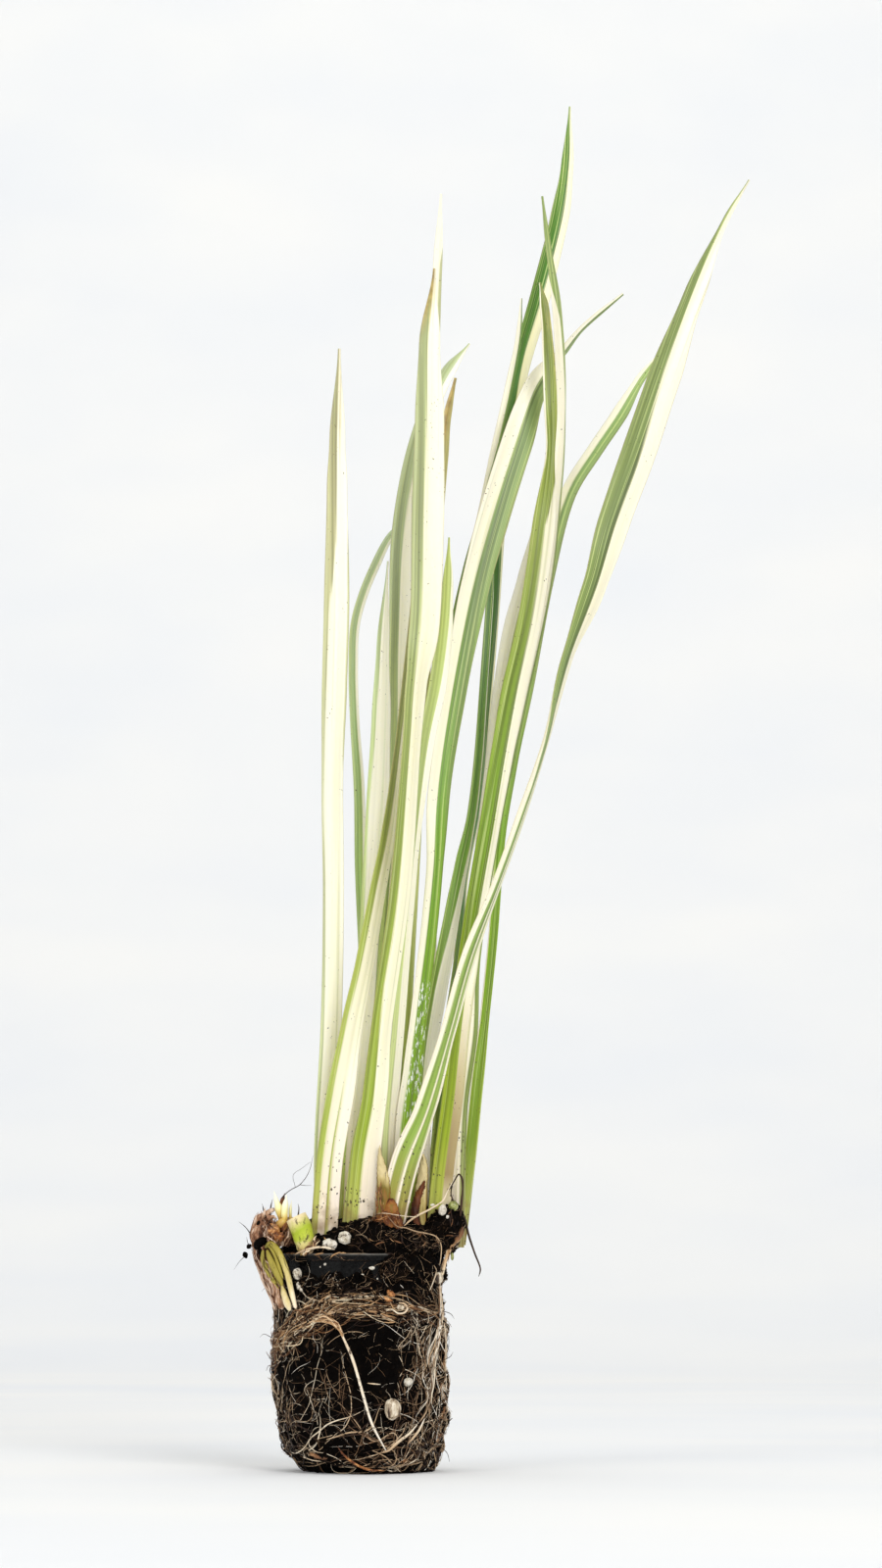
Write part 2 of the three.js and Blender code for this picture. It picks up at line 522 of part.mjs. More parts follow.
place('edge_root', '#b0683c', 0.6, makeRod(edgeRootPath), makeRod(edgeRootPath, gap));
place('hanging_root', '#3a2a20', 0.7, makeRod(hangingRootPath), makeRod(hangingRootPath, gap));
place('root_curl', '#8a6a4c', 0.6, makeRod(curlPath), makeRod(curlPath, gap));
place('pale_root', '#d8c4a0', 0.5, makeRod(paleRootPath), makeRod(paleRootPath, gap));
place('net_pot', '#0e0f12', 0.35, makePot(), makePotWall(gap));
place('soil', '#15110d', 0.95, makeSoil());
place('root_mat', '#a98a68', 0.85, makeRootMat());

export default plant;
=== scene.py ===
# Variegated sweet flag in a small net pot that its roots have overgrown: surfaces, fine roots, light, camera
import bmesh
import bpy
import json
import math
import random
from functools import partial
from mathutils import Matrix, Vector
from mathutils.bvhtree import BVHTree


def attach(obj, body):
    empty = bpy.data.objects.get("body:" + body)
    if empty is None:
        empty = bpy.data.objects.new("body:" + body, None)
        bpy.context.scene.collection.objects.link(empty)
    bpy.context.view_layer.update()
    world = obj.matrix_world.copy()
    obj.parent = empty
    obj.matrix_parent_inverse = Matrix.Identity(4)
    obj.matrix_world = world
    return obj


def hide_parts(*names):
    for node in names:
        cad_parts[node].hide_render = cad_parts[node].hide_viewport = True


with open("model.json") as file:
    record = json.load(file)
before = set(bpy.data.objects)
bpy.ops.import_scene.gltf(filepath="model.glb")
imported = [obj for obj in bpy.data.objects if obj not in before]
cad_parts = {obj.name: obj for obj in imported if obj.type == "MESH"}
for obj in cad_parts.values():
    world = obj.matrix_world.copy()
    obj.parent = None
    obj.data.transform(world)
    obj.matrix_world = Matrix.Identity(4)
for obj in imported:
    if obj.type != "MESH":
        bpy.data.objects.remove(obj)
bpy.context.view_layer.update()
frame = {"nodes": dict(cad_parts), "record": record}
mm = 0.001
cadNodes = frame["nodes"]
slotOf = {entry["node"]: entry["material_slot"] for entry in frame["record"]["subparts"]}
scene = bpy.context.scene


def linear(hexCode):
    parts = [int(hexCode[i:i + 2], 16) / 255 for i in (1, 3, 5)]
    return [c / 12.92 if c <= 0.04045 else ((c + 0.055) / 1.055) ** 2.4 for c in parts] + [1.0]


def pick(sockets, key):  # by number or by name, among the sockets in use
    shown = [s for s in sockets if s.enabled]
    return shown[key] if isinstance(key, int) else next(s for s in shown if s.name == key)


def feed(tree, target, value):  # a node or socket is linked, and anything else is set, also a hex colour
    if isinstance(value, bpy.types.Node):
        value = pick(value.outputs, 0)
    if isinstance(value, bpy.types.NodeSocket):
        tree.links.new(value, target)
    else:
        target.default_value = linear(value) if isinstance(value, str) and value.startswith("#") else value


# Inputs come in order, or by name with a capital letter. Settings have a small letter.
def addNode(tree, kind, *inputs, stops=(), **named):
    node = tree.nodes.new(kind)
    for name in [n for n in named if n[0].islower()]:
        setattr(node, name, named.pop(name))
    for key, value in [*enumerate(inputs), *named.items()]:
        feed(tree, pick(node.inputs, key.replace("_", " ") if isinstance(key, str) else key), value)
    for i, (place, hexCode) in enumerate(stops):
        ramp = node.color_ramp.elements
        stop = ramp[i] if i < 2 else ramp.new(place)
        stop.position, stop.color = place, linear(hexCode)
    return node


def newMaterial(name):
    material = bpy.data.materials.new(name)
    material.use_nodes = True
    return material, partial(addNode, material.node_tree)


def finishMaterial(material, **values):
    tree = material.node_tree
    for key, value in values.items():
        feed(tree, tree.nodes["Principled BSDF"].inputs[key.replace("_", " ")], value)
    return material


def newGeometryTree(name, inputs):
    tree = bpy.data.node_groups.new(name, "GeometryNodeTree")
    tree.interface.new_socket(name="Geometry", in_out="INPUT", socket_type="NodeSocketGeometry")
    tree.interface.new_socket(name="Geometry", in_out="OUTPUT", socket_type="NodeSocketGeometry")
    for socketName, kind in inputs.items():
        tree.interface.new_socket(name=socketName, in_out="INPUT", socket_type="NodeSocket" + kind)
    return tree, addNode(tree, "NodeGroupInput").outputs, partial(addNode, tree)


def endTree(tree, shape, material):
    real = addNode(tree, "GeometryNodeRealizeInstances", shape)
    coated = addNode(tree, "GeometryNodeSetMaterial", Geometry=real, Material=material)
    addNode(tree, "NodeGroupOutput", coated)
    return tree


def settle(piece):  # what the modifiers give becomes the piece's own mesh
    shown = piece.evaluated_get(bpy.context.evaluated_depsgraph_get())
    mesh = bpy.data.meshes.new_from_object(shown)
    piece.modifiers.clear()
    piece.data = mesh
    mesh.name = piece.name


def applyTree(piece, tree, values):
    modifier = piece.modifiers.new(tree.name, "NODES")
    modifier.node_group = tree
    for item in tree.interface.items_tree:
        if item.in_out == "INPUT" and item.name in values:
            value = values[item.name]
            modifier[item.identifier] = float(value) if item.socket_type == "NodeSocketFloat" else value
    settle(piece)


def newPiece(name, vertices, edges=(), faces=()):
    mesh = bpy.data.meshes.new(name)
    mesh.from_pydata(vertices, edges, faces)
    piece = bpy.data.objects.new(name, mesh)
    scene.collection.objects.link(piece)
    return piece


def pieceFromShape(name, shape):
    piece = newPiece(name, [])
    shape.to_mesh(piece.data)
    shape.free()
    return piece


def addBall(shape, centre, radii, subdivisions):
    place = Matrix.Translation(Vector(centre) * mm) @ Matrix.Diagonal((*[r * mm for r in radii], 1))
    bmesh.ops.create_icosphere(shape, subdivisions=subdivisions, radius=1, matrix=place)


def smoothFaces(mesh):
    for face in mesh.polygons:
        face.use_smooth = True


def writeAttributes(mesh, columns):  # one value for each point: a number, a vector or a colour
    kinds = {1: ("FLOAT", "value"), 3: ("FLOAT_VECTOR", "vector"), 4: ("FLOAT_COLOR", "color")}
    for name, values in columns.items():
        size = len(values[0]) if hasattr(values[0], "__len__") else 1
        kind, field = kinds[size]
        flat = values if size == 1 else [x for value in values for x in value]
        mesh.attributes.new(name, kind, "POINT").data.foreach_set(field, flat)


def dressPiece(piece, slot, *replaced):
    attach(piece, "root")
    if replaced:
        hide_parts(*replaced)


def mixed(low, high, part):
    return [a + (b - a) * part for a, b in zip(low, high)]


def between(table, at):  # a table's rows start with their place, and what follows is mixed between them
    if at <= table[0][0]:
        return table[0][1:]
    for low, high in zip(table, table[1:]):
        if at <= high[0]:
            return mixed(low[1:], high[1:], (at - low[0]) / (high[0] - low[0]))
    return table[-1][1:]


def smoothPath(points, steps):  # a centripetal curve through all points, with how far along each place is
    points = [Vector(p) for p in points]
    ends = [2 * points[0] - points[1]] + points + [2 * points[-1] - points[-2]]
    path = []
    for i in range(len(points) - 1):
        p0, p1, p2, p3 = ends[i:i + 4]
        t1 = max((p1 - p0).length ** 0.5, 1e-6)
        t2 = t1 + max((p2 - p1).length ** 0.5, 1e-6)
        t3 = t2 + max((p3 - p2).length ** 0.5, 1e-6)
        last = i == len(points) - 2
        for k in range(steps + last):
            t = t1 + (t2 - t1) * k / steps
            a1 = p0 * ((t1 - t) / t1) + p1 * (t / t1)
            a2 = p1 * ((t2 - t) / (t2 - t1)) + p2 * ((t - t1) / (t2 - t1))
            a3 = p2 * ((t3 - t) / (t3 - t2)) + p3 * ((t - t2) / (t3 - t2))
            b1 = a1 * ((t2 - t) / t2) + a2 * (t / t2)
            b2 = a2 * ((t3 - t) / (t3 - t1)) + a3 * ((t - t1) / (t3 - t1))
            path.append((b1 * ((t2 - t) / (t2 - t1)) + b2 * ((t - t1) / (t2 - t1)), i + k / steps))
    return path


def alongPath(points, steps):  # place, the other values eased between the points, and how far along it is
    for place, at in smoothPath([p[:3] for p in points], steps):
        low = min(int(at), len(points) - 2)
        part = at - low
        yield place, mixed(points[low][3:], points[low + 1][3:], part * part * (3 - 2 * part)), at


def headingAt(rows, i):
    return (rows[min(i + 1, len(rows) - 1)][0] - rows[max(i - 1, 0)][0]).normalized()


# Blade of a living leaf: waxy skin over parallel veins, cream where the cells hold no green. Patterns are
# given by how many a metre holds. Veins are bundles, single ones and broad streaks, across and along a blade.
leafSkin = {
    "veins": ((900, 9), (2600, 14), (320, 5)), "blotches": 260, "drops": 2000, "dropsDrawn": (1, 1, 0.22),
    "speckGroups": 190, "specks": 1050, "specksDrawn": (1, 1, 0.55), "speckTear": 1300, "speckTearBy": 0.0013,
    "speckSize": 0.14, "speckMore": 0.18, "bandFray": (0.4, 0.16), "bandEdge": (-0.01, 0.17),
    "veinTone": "#C9D48E", "rimTone": "#A08A62", "dropGlintTone": "#FDFEF6", "mudTone": "#7A5A34",
    "speckTone": "#3A2C1C", "dryTones": ((0.3, "#5E4020"), (0.7, "#B79A52")),
}


def makeLeafMaterial():
    s = leafSkin
    material, add = newMaterial("waxyLeafBlade")
    read = {name: add("ShaderNodeAttribute", attribute_name=name).outputs["Fac"]
            for name in ("acrossC", "halfWidth", "alongLeaf", "bandLow", "bandHigh", "bandLow2", "bandHigh2",
                         "leafSeed", "dryness", "drySide", "nearSoil", "wet")}
    greenTone, creamTone = (add("ShaderNodeAttribute", attribute_name=name).outputs["Color"]
                            for name in ("greenTone", "creamTone"))
    across = read["acrossC"]
    acrossMetres = add("ShaderNodeMath", across, read["halfWidth"], operation="MULTIPLY")
    veins = []
    for perWidth, perLength in s["veins"]:
        fine = add("ShaderNodeMath", acrossMetres, perWidth, operation="MULTIPLY")
        slow = add("ShaderNodeMath", read["alongLeaf"], perLength, operation="MULTIPLY")
        spot = add("ShaderNodeCombineXYZ", fine, slow, read["leafSeed"])
        veins.append(add("ShaderNodeTexNoise", Vector=spot, Scale=1.0, Detail=1.0))
    bundles, single, broad = veins

    # Green where the point lies inside one of the leaf's two bands, with veins that fray the bands' edges
    shift = add("ShaderNodeMath", bundles, s["bandFray"][0], -s["bandFray"][0] / 2, operation="MULTIPLY_ADD")
    finer = add("ShaderNodeMath", single, s["bandFray"][1], shift, operation="MULTIPLY_ADD")
    edgeAt = add("ShaderNodeMath", across, finer, operation="ADD")
    bands = []
    for ends in (("bandLow", "bandHigh"), ("bandLow2", "bandHigh2")):
        inside = []
        for name in ends:
            before, after = (add("ShaderNodeMath", read[name], by, operation="ADD") for by in s["bandEdge"])
            inside.append(add("ShaderNodeMapRange", Value=edgeAt, From_Min=before, From_Max=after,
                              interpolation_type="SMOOTHSTEP"))
        bands.append(add("ShaderNodeMath", *inside, operation="SUBTRACT"))
    green = add("ShaderNodeMath", *bands, operation="MAXIMUM")

    # Patterns of age and dirt, and the painted glints of water drops
    place = add("ShaderNodeTexCoord").outputs["Object"]
    edge = add("ShaderNodeMath", across, operation="ABSOLUTE")
    blotch = add("ShaderNodeTexNoise", Vector=place, Scale=s["blotches"], Detail=4.0)
    streak = add("ShaderNodeMath", bundles, 1.5, -0.75, operation="MULTIPLY_ADD")
    sided = add("ShaderNodeMath", across, read["drySide"], streak, operation="MULTIPLY_ADD")
    dryAt = add("ShaderNodeMath", read["dryness"], sided, operation="ADD")
    runs = add("ShaderNodeVectorMath", place, s["dropsDrawn"], operation="MULTIPLY")
    dropPattern = add("ShaderNodeTexNoise", Vector=runs, Scale=s["drops"], Detail=2.0)
    groups = add("ShaderNodeTexNoise", Vector=place, Scale=s["speckGroups"], Detail=3.0)
    footed = add("ShaderNodeMath", read["nearSoil"], 1.8, blotch, operation="MULTIPLY_ADD")
    # A pattern's low and high value give the least and the most of each
    paleVein, darkVein, greenLine, shade, rim, dry, dropGlintMask, gate, mud, rough = (
        add("ShaderNodeMapRange", Value=pattern, From_Min=low, From_Max=high, To_Min=least, To_Max=most)
        for pattern, low, high, least, most in (
            (single, 0.56, 0.68, 0, 0.55), (bundles, 0.36, 0.6, 0.62, 1.1), (bundles, 0.6, 0.75, 0, 0.35),
            (broad, 0.32, 0.62, 0.86, 1.05), (edge, 0.93, 1, 0, 0.45), (dryAt, 0.3, 0.75, 0, 0.85),
            (dropPattern, 0.57, 0.61, 0, 1), (groups, 0.44, 0.64, 0, 1), (footed, 2, 2.4, 0, 0.7),
            (bundles, 0, 1, 0.34, 0.5)))
    # White flecks on the green where drops cling paint the drops' glints
    wetGreen = add("ShaderNodeMath", read["wet"], green, operation="MULTIPLY")
    dropGlint = add("ShaderNodeMath", dropGlintMask, wetGreen, operation="MULTIPLY")
    blur = add("ShaderNodeTexNoise", Vector=place, Scale=s["speckTear"], Detail=2.0).outputs["Color"]
    ragged = add("ShaderNodeVectorMath", blur, Scale=s["speckTearBy"], operation="SCALE")
    torn = add("ShaderNodeVectorMath", place, ragged, operation="ADD")
    drawn = add("ShaderNodeVectorMath", torn, s["specksDrawn"], operation="MULTIPLY")
    specks = add("ShaderNodeTexVoronoi", Vector=drawn, Scale=s["specks"], Randomness=1.0).outputs["Distance"]
    speckSize = add("ShaderNodeMath", read["nearSoil"], s["speckMore"], s["speckSize"],
                    operation="MULTIPLY_ADD")
    reach = add("ShaderNodeMath", speckSize, gate, operation="MULTIPLY")
    dirt = add("ShaderNodeMath", specks, reach, operation="LESS_THAN")
    dryTone = add("ShaderNodeValToRGB", Fac=blotch, stops=s["dryTones"])

    # Green and cream flesh with their veins, then what lies over both
    veined = add("ShaderNodeMix", Factor=paleVein, A=greenTone, B=s["veinTone"], data_type="RGBA")
    lined = add("ShaderNodeMix", Factor=1.0, A=veined, B=darkVein, data_type="RGBA", blend_type="MULTIPLY")
    cream = add("ShaderNodeMix", Factor=greenLine, A=creamTone, B=greenTone, data_type="RGBA")
    shaded = add("ShaderNodeMix", Factor=1.0, A=cream, B=shade, data_type="RGBA", blend_type="MULTIPLY")
    colour = add("ShaderNodeMix", Factor=green, A=shaded, B=lined, data_type="RGBA")
    for over, tone in ((rim, s["rimTone"]), (dry, dryTone), (dropGlint, s["dropGlintTone"]), (mud, s["mudTone"]),
                       (dirt, s["speckTone"])):
        colour = add("ShaderNodeMix", Factor=over, A=colour, B=tone, data_type="RGBA")
    bump = add("ShaderNodeBump", Height=single, Strength=0.35, Distance=0.15 * mm)
    return finishMaterial(
        material, Base_Color=colour, Roughness=rough, Normal=bump, IOR=1.42, Subsurface_Weight=0.3,
        Subsurface_Radius=(0.004, 0.004, 0.002), Subsurface_Scale=1.0)


leafMaterial = makeLeafMaterial()

# Leaves: stations are x, y, z, blade width in mm and turn in degrees, from inside the soil to the tip.
# A band is height in mm, then where green starts and ends across, from -1 at the left edge to 1 at the right.
# "dry" is where browning starts, how strong it gets and on which side, and "wet" is where drops cling, drawn
# as white flecks that paint their glints.
leafSettings = {
    "rowsPerStation": 9, "around": 36, "edge": 0.3, "ridgeLeast": 0.6, "ridgeShare": 0.09, "pleat": 0.05,
    "pleatTurns": 13.0, "ridgePower": 1.4, "blushTop": 118, "soilTop": 74, "toneHeights": (100, 190, 280),
    "footHeight": 76, "footTone": "#B9AE5E", "footShare": 0.5, "creamFoot": "#EEDCC6",
    "noBand": [(0, 3, 3)], "notDry": (999, 0, 0), "notWet": (999, 999), "dryReach": 24, "drySideShare": 0.4,
    "seedStep": 7.3,
}
leaves = {
    "leaf_01": {
        "green": ("#C3D09A", "#B0B48A", "#AAA680"), "cream": "#F5F0D4", "dry": (300, 0.35, 0),
        "bands": [(66, -1.2, -0.6), (110, -1.2, -0.75), (200, -1.2, -0.86), (262, -1.2, -0.6),
            (285, -1.2, -0.1), (348, -1.2, 0)],
        "bands2": [(214, 0.9, 0.9), (225, 0.84, 1.2), (280, 0.84, 1.2), (290, 0.95, 0.95)],
        "stations": [(-9.5, -8, 66, 6, 0), (-10.5, -8.5, 93, 6, 5), (-8.5, -6, 133, 6.5, 10),
            (-8, -3, 174, 6.5, 10), (-8.5, -1, 209, 7, 20), (-8, 1, 240, 8, 15), (-7.5, 3, 265, 8, 10),
            (-7.5, 5, 302, 6.5, 5), (-7.5, 6, 319, 5, 0), (-7, 7, 348, 0.9, 0)],
    },
    "leaf_02": {
        "green": ("#8F9E3E", "#93A050", "#A8A982"), "cream": "#F6EFD0", "dry": (384, 0.15, 0),
        "bands": [(66, -1.2, -0.5), (95, -1.2, -0.42), (130, -1.2, -0.5), (180, -1.2, -0.3), (220, -1.2, 0),
            (300, -1.2, -0.5), (330, -1.2, -1.1)],
        "bands2": [(72, -0.08, 0.34), (92, 0, 0.28), (104, 0.06, 0.22), (118, 0.14, 0.14), (330, 1, 1.1),
            (345, 0.3, 1.2), (372, 0.4, 1.2), (380, 1, 1.1)],
        "stations": [(-10.5, -14, 66, 8, 0), (-8.5, -15, 93, 8, 0), (-5.5, -15, 112, 8.5, 0),
            (-2, -15, 133, 7, 20), (2, -14, 153, 6.5, 30), (5.5, -13, 173, 6, 35), (8.5, -12, 190, 6, 48),
            (10.5, -11, 206, 6, 62), (12, -10, 220, 5.5, 70), (15, -9, 244, 5.5, 60),
            (21, -6, 306, 4.5, 45), (24, -2, 373, 3, 20), (25, 0, 396, 0.7, 0)],
    },
    "leaf_03": {
        "green": ("#8B9E2E", "#8B9C4A", "#A3AB7E"), "cream": "#F7F0CE", "dry": (340, 0.75, -1),
        "bands": [(66, -1.2, 0), (108, -1.2, -0.06), (128, -1.2, -0.2), (146, -1.2, -0.3),
            (160, -1.2, -0.24), (240, -1.2, -0.3), (366, -1.2, -0.1)],
        "stations": [(-0.4, -12, 66, 10.4, 0), (2, -14, 93, 9.1, 0), (5, -16, 112, 7.8, 15),
            (7, -17, 133, 7.5, 35), (12.5, -19, 173, 8, 40), (16, -21, 218, 8.5, 50),
            (17.5, -22, 237, 9, 45), (20, -23, 255, 9.5, 15), (21, -24, 290, 10, 0), (21.5, -24, 318, 9, 0),
            (21.5, -24, 342, 6.5, 0), (23, -23, 366, 0.9, 0)],
    },
    "leaf_04": {
        "wet": (106, 146), "green": ("#8FB92A", "#6E9634", "#7B9158"), "cream": "#F8F1D4",
        "bands": [(66, -0.6, 1.2), (180, -0.35, 1.2), (205, -0.1, 1.2), (240, -0.24, 1.2),
            (330, -0.05, 1.2), (369, -0.4, 1.2)],
        "stations": [(14.5, -9, 66, 7.5, 0), (14.5, -9, 103, 7, 20), (16.5, -8, 121, 7, 35),
            (18.5, -8, 139, 7, 45), (21, -7, 160, 7, 45), (23, -6, 181, 7, 45), (24.5, -5, 207, 7, 10),
            (29.5, -4, 239, 7.5, 0), (35.5, -2, 270, 9, 0), (41.5, 0, 293, 10, 0), (48.5, 3, 316, 10, 0),
            (55, 8, 336, 8, 25), (64, 13, 349, 5.5, 70), (70, 16, 357, 3.5, 70), (83, 20, 369, 0.9, 40)],
    },
    "leaf_05": {
        "green": ("#86A043", "#8CA858", "#6E7E49"), "cream": "#F8F0D0", "dry": (376, 0.2, 0),
        "foot": "#8E7A30",
        "bands": [(66, -0.75, 0), (110, -0.6, 0.04), (150, -0.5, 0.06), (175, -0.36, 0.1),
            (205, -0.25, 0.1), (228, -0.9, -0.2), (240, -1.2, 0), (262, -1.2, 0.02), (300, -1.2, 0.12),
            (330, -1.2, -0.1), (390, -1.2, -0.2)],
        "bands2": [(66, 0.16, 0.9), (110, 0.22, 0.8), (150, 0.26, 0.7), (175, 0.28, 0.6), (205, 0.3, 0.48),
            (215, 0.35, 0.35)],
        "stations": [(8.5, -15, 66, 8, 0), (13.8, -16, 91, 8.5, 0), (20.5, -18, 109, 8, 35),
            (27, -21, 131, 7.5, 52), (33.5, -24, 154, 7.5, 52), (42, -27, 176, 7.5, 68),
            (48.5, -29, 194, 8, 70), (56.5, -31, 218, 8.5, 79), (63, -33, 243, 9, 68),
            (71, -34, 264, 9.5, 40), (77.5, -35, 285, 10, 12), (85, -36, 306, 10.5, 0),
            (92.5, -37, 328, 10, 0), (101.5, -37, 353, 6.5, 0), (111.5, -37, 377, 2, 0),
            (119, -37, 390, 0.6, 0)],
    },
    "leaf_06": {
        "green": ("#5E7A34", "#4F7F30", "#3B6C1A"), "cream": "#F4EDC0",
        "bands": [(66, -1.2, 0.7), (300, -1.2, 0.6), (350, -1.2, 0.1), (395, -1.2, 0.3), (432, -1.2, 0.2)],
        "stations": [(22, 6, 66, 5.5, 0), (26.5, 9, 122, 5.5, 30), (30.5, 11, 157, 5.5, 60),
            (32, 12, 180, 5.5, 62), (36.5, 14, 204, 5.5, 70), (39, 16, 236, 5.5, 50),
            (42, 17, 267, 5.5, 60), (44, 18, 305, 6, 40), (49.5, 20, 342, 6, 10), (56.5, 22, 368, 6.5, 0),
            (63, 23, 395, 6, 0), (65.5, 24, 412, 4, 0), (66.5, 25, 432, 0.7, 0)],
    },
    "leaf_07": {
        "green": ("#8A9C14", "#6F9314", "#7C8A3A"), "cream": "#F6EFD0", "dry": (330, 0.5, 0),
        "creamStops": [(82, "#CFC09A"), (89, "#8F7A50"), (102, "#96825A"), (118, "#B4A57E"),
            (134, "#D4C9AC"), (152, "#F6EFD0")],
        "bands": [(66, -1.2, 0.2), (150, -1.2, 0.15), (195, -1.2, 0.45), (250, -1.2, 0.1), (290, -1.2, 0.1),
            (310, -0.85, 1.2), (367, -0.7, 1.2)],
        "stations": [(23.5, -9, 66, 7, 0), (25.5, -10, 89, 6.5, 0), (28.5, -10, 112, 6.5, 5),
            (31, -10, 136, 6.5, 10), (35, -10, 166, 6.5, 10), (40, -10, 196, 6.5, 10),
            (43.5, -9, 216, 7, 0), (47.5, -8, 237, 8, 0), (52, -7, 257, 7.5, 5), (56.5, -5, 286, 7.5, 10),
            (59, -4, 313, 5.5, 60), (59, -3, 332, 4.5, 20), (57.5, -2, 358, 3, 0), (56, -2, 367, 0.7, 0)],
    },
    "leaf_08": {
        "green": ("#7A8A44", "#628626", "#76894C"), "cream": "#F1E9CE",
        "bands": [(66, 0.35, 1.2), (190, 0.5, 1.2), (280, 0.72, 1.2), (330, 0.8, 1.2), (358, 0.4, 1.2),
            (372, -1.2, 1.2)],
        "stations": [(29, -4, 67, 6, 0), (30.5, -4, 109, 5.5, 15), (33.5, -4, 132, 5.5, 10),
            (34.5, -3, 155, 5.5, 15), (41, -2, 197, 5.5, 0), (48.5, 0, 233, 6, 10), (56.5, 2, 271, 6, 10),
            (60.5, 3, 304, 5.5, 25), (62.5, 4, 332, 3.5, 15), (61.5, 5, 360, 3, 0), (59, 6, 380, 2, 20),
            (57, 6, 397, 0.7, 0)],
    },
    "leaf_09": {
        "green": ("#6E8A0E", "#6E9A16", "#86A062"), "cream": "#F4EDCE",
        "bands": [(66, -0.9, 1.2), (240, -0.9, 1.2), (300, -0.1, 1.2), (346, -0.2, 1.2)],
        "stations": [(30, 1, 68, 5, 0), (33.5, 2, 92, 4, 10), (36, 2, 116, 4, 15), (38.5, 3, 138, 4, 45),
            (41, 4, 162, 4, 45), (43.5, 5, 193, 4, 45), (47, 6, 216, 4.5, 40), (52.5, 7, 244, 4.5, 20),
            (58, 8, 275, 5, 10), (65, 9, 302, 5, 0), (73.5, 9, 316, 5, 0), (81, 8, 327, 5, 0),
            (87.5, 7, 338, 3, 0), (93.5, 6, 346, 0.7, 0)],
    },
    "leaf_10": {
        "green": ("#8FA352", "#9BAF50", "#94A560"), "cream": "#F5EFD6",
        "bands": [(66, 0.6, 1.2), (293, 0.8, 1.2)],
        "stations": [(24, 0.5, 66, 4.5, 0), (30.5, 2, 130, 4, 20), (36, 3, 179, 4, 30),
            (40, 4, 213, 3.5, 20), (43, 4, 240, 3.5, 10), (46.5, 4, 259, 4, 0), (50.5, 4, 274, 3.5, 0),
            (54.5, 4, 293, 0.6, 0)],
    },
    "leaf_11": {
        "green": ("#8AA43E", "#618A34", "#4E7044"), "cream": "#F5EFD8",
        "bands": [(66, -1.2, -0.3), (145, -1.2, -0.4), (168, -1.2, 0.15), (190, -1.2, 0.8),
            (289, -1.2, 0.9)],
        "stations": [(18, -4, 66, 5.5, 0), (20.5, -3, 121, 5.5, 25), (24, -2, 144, 5.5, 10),
            (26, -2, 155, 5.5, 10), (28.5, -1, 169, 5, 15), (31.3, 0, 184, 4.5, 25),
            (34.4, 1, 199, 3.5, 35), (36.6, 3, 218, 3.5, 40), (38.2, 5, 240, 3, 35), (40, 6, 265, 2.5, 20),
            (41.5, 7, 289, 0.6, 0)],
    },
    "leaf_12": {
        "green": ("#C9D495", "#B9CA80", "#B4C26E"), "cream": "#F5F0D4",
        "bands": [(66, -1.2, -0.3), (190, -1.2, -0.1), (235, -1.2, 0.3), (284, -1.2, 0.8)],
        "stations": [(9, -7, 66, 4.5, 0), (9.5, -9, 102, 4.5, 10), (12, -10, 133, 4, 15),
            (14.5, -11, 163, 4, 30), (17, -11, 190, 4, 40), (20.5, -12, 220, 5, 10), (24, -12, 238, 5.5, 0),
            (26, -12, 254, 5, 0), (27, -12, 268, 3.5, 0), (27.5, -12, 284, 0.6, 0)],
    },
    "leaf_13": {
        "green": ("#A0B060", "#ADB270", "#A79F60"), "cream": "#F0E7C6", "dry": (296, 0.85, -1),
        "bands": [(66, -0.4, 1.2), (336, -0.2, 1.2)],
        "stations": [(11.5, -2, 66, 4.5, 0), (13, -3, 118, 4.5, 10), (16, -3, 178, 4.5, 10),
            (19.5, -4, 239, 4, 10), (23, -4, 282, 4, 10), (25.5, -4, 310, 3.5, 10), (27, -4, 324, 2.5, 0),
            (29.5, -4, 336, 0.9, 0)],
    },
    "leaf_14": {
        "green": ("#9AAE5C", "#A9BC88", "#A8B48C"), "cream": "#F3EED6", "dry": (340, 0.2, 0),
        "bands": [(66, -1.2, 0), (250, -1.2, -0.1), (300, -1.2, 0.1), (351, -1.2, 0.3)],
        "stations": [(5.5, 1, 66, 5.5, 0), (5.5, 2, 113, 5.5, 10), (7.5, 3, 155, 5.5, 10),
            (10, 4, 192, 6, 10), (11.5, 5, 225, 6, 10), (12, 6, 256, 6.5, 0), (13, 7, 286, 7.5, 0),
            (15.5, 8, 306, 7, 0), (20, 9, 325, 6, 0), (27, 11, 341, 4.5, 0), (34, 13, 351, 0.7, 0)],
    },
    "leaf_15": {
        "green": ("#8FB44A", "#B4C880", "#BCCCA0"), "cream": "#F5F0D6",
        "bands": [(66, -1.2, -0.4), (140, -1.2, -0.6), (200, -1.2, -0.7), (279, -1.2, -0.2)],
        "stations": [(-4, -6, 66, 5, 0), (-2, -5, 103, 5, 0), (1, -4, 130, 5.5, 0), (2.5, -3, 154, 6, 0),
            (4, -3, 178, 6.5, 0), (5.5, -2, 203, 7, 0), (6.5, -1, 229, 6, 0), (7, 0, 252, 4, 0),
            (8.5, 1, 279, 0.6, 0)],
    },
    "leaf_16": {
        "green": ("#93A25C", "#9CBB78", "#B0C09A"), "cream": "#F2ECD4",
        "bands": [(66, -1.2, 0.4), (296, -1.2, 0.45)],
        "stations": [(1.5, 6, 66, 4.5, 0), (2, 8, 119, 4, 0), (1.5, 10, 155, 4, 0), (0, 11, 183, 3.5, 10),
            (-0.5, 12, 209, 3.5, 10), (-2, 13, 231, 3, 10), (-2.5, 14, 248, 3, 10), (-2, 15, 261, 3, 10),
            (0.5, 16, 271, 3, 0), (4.5, 17, 281, 3, 0), (9, 18, 290, 2.5, 0), (15, 19, 296, 0.6, 0)],
    },
    "leaf_17": {
        "green": ("#78924D", "#5A7E3A", "#537A3A"), "cream": "#F2ECD0",
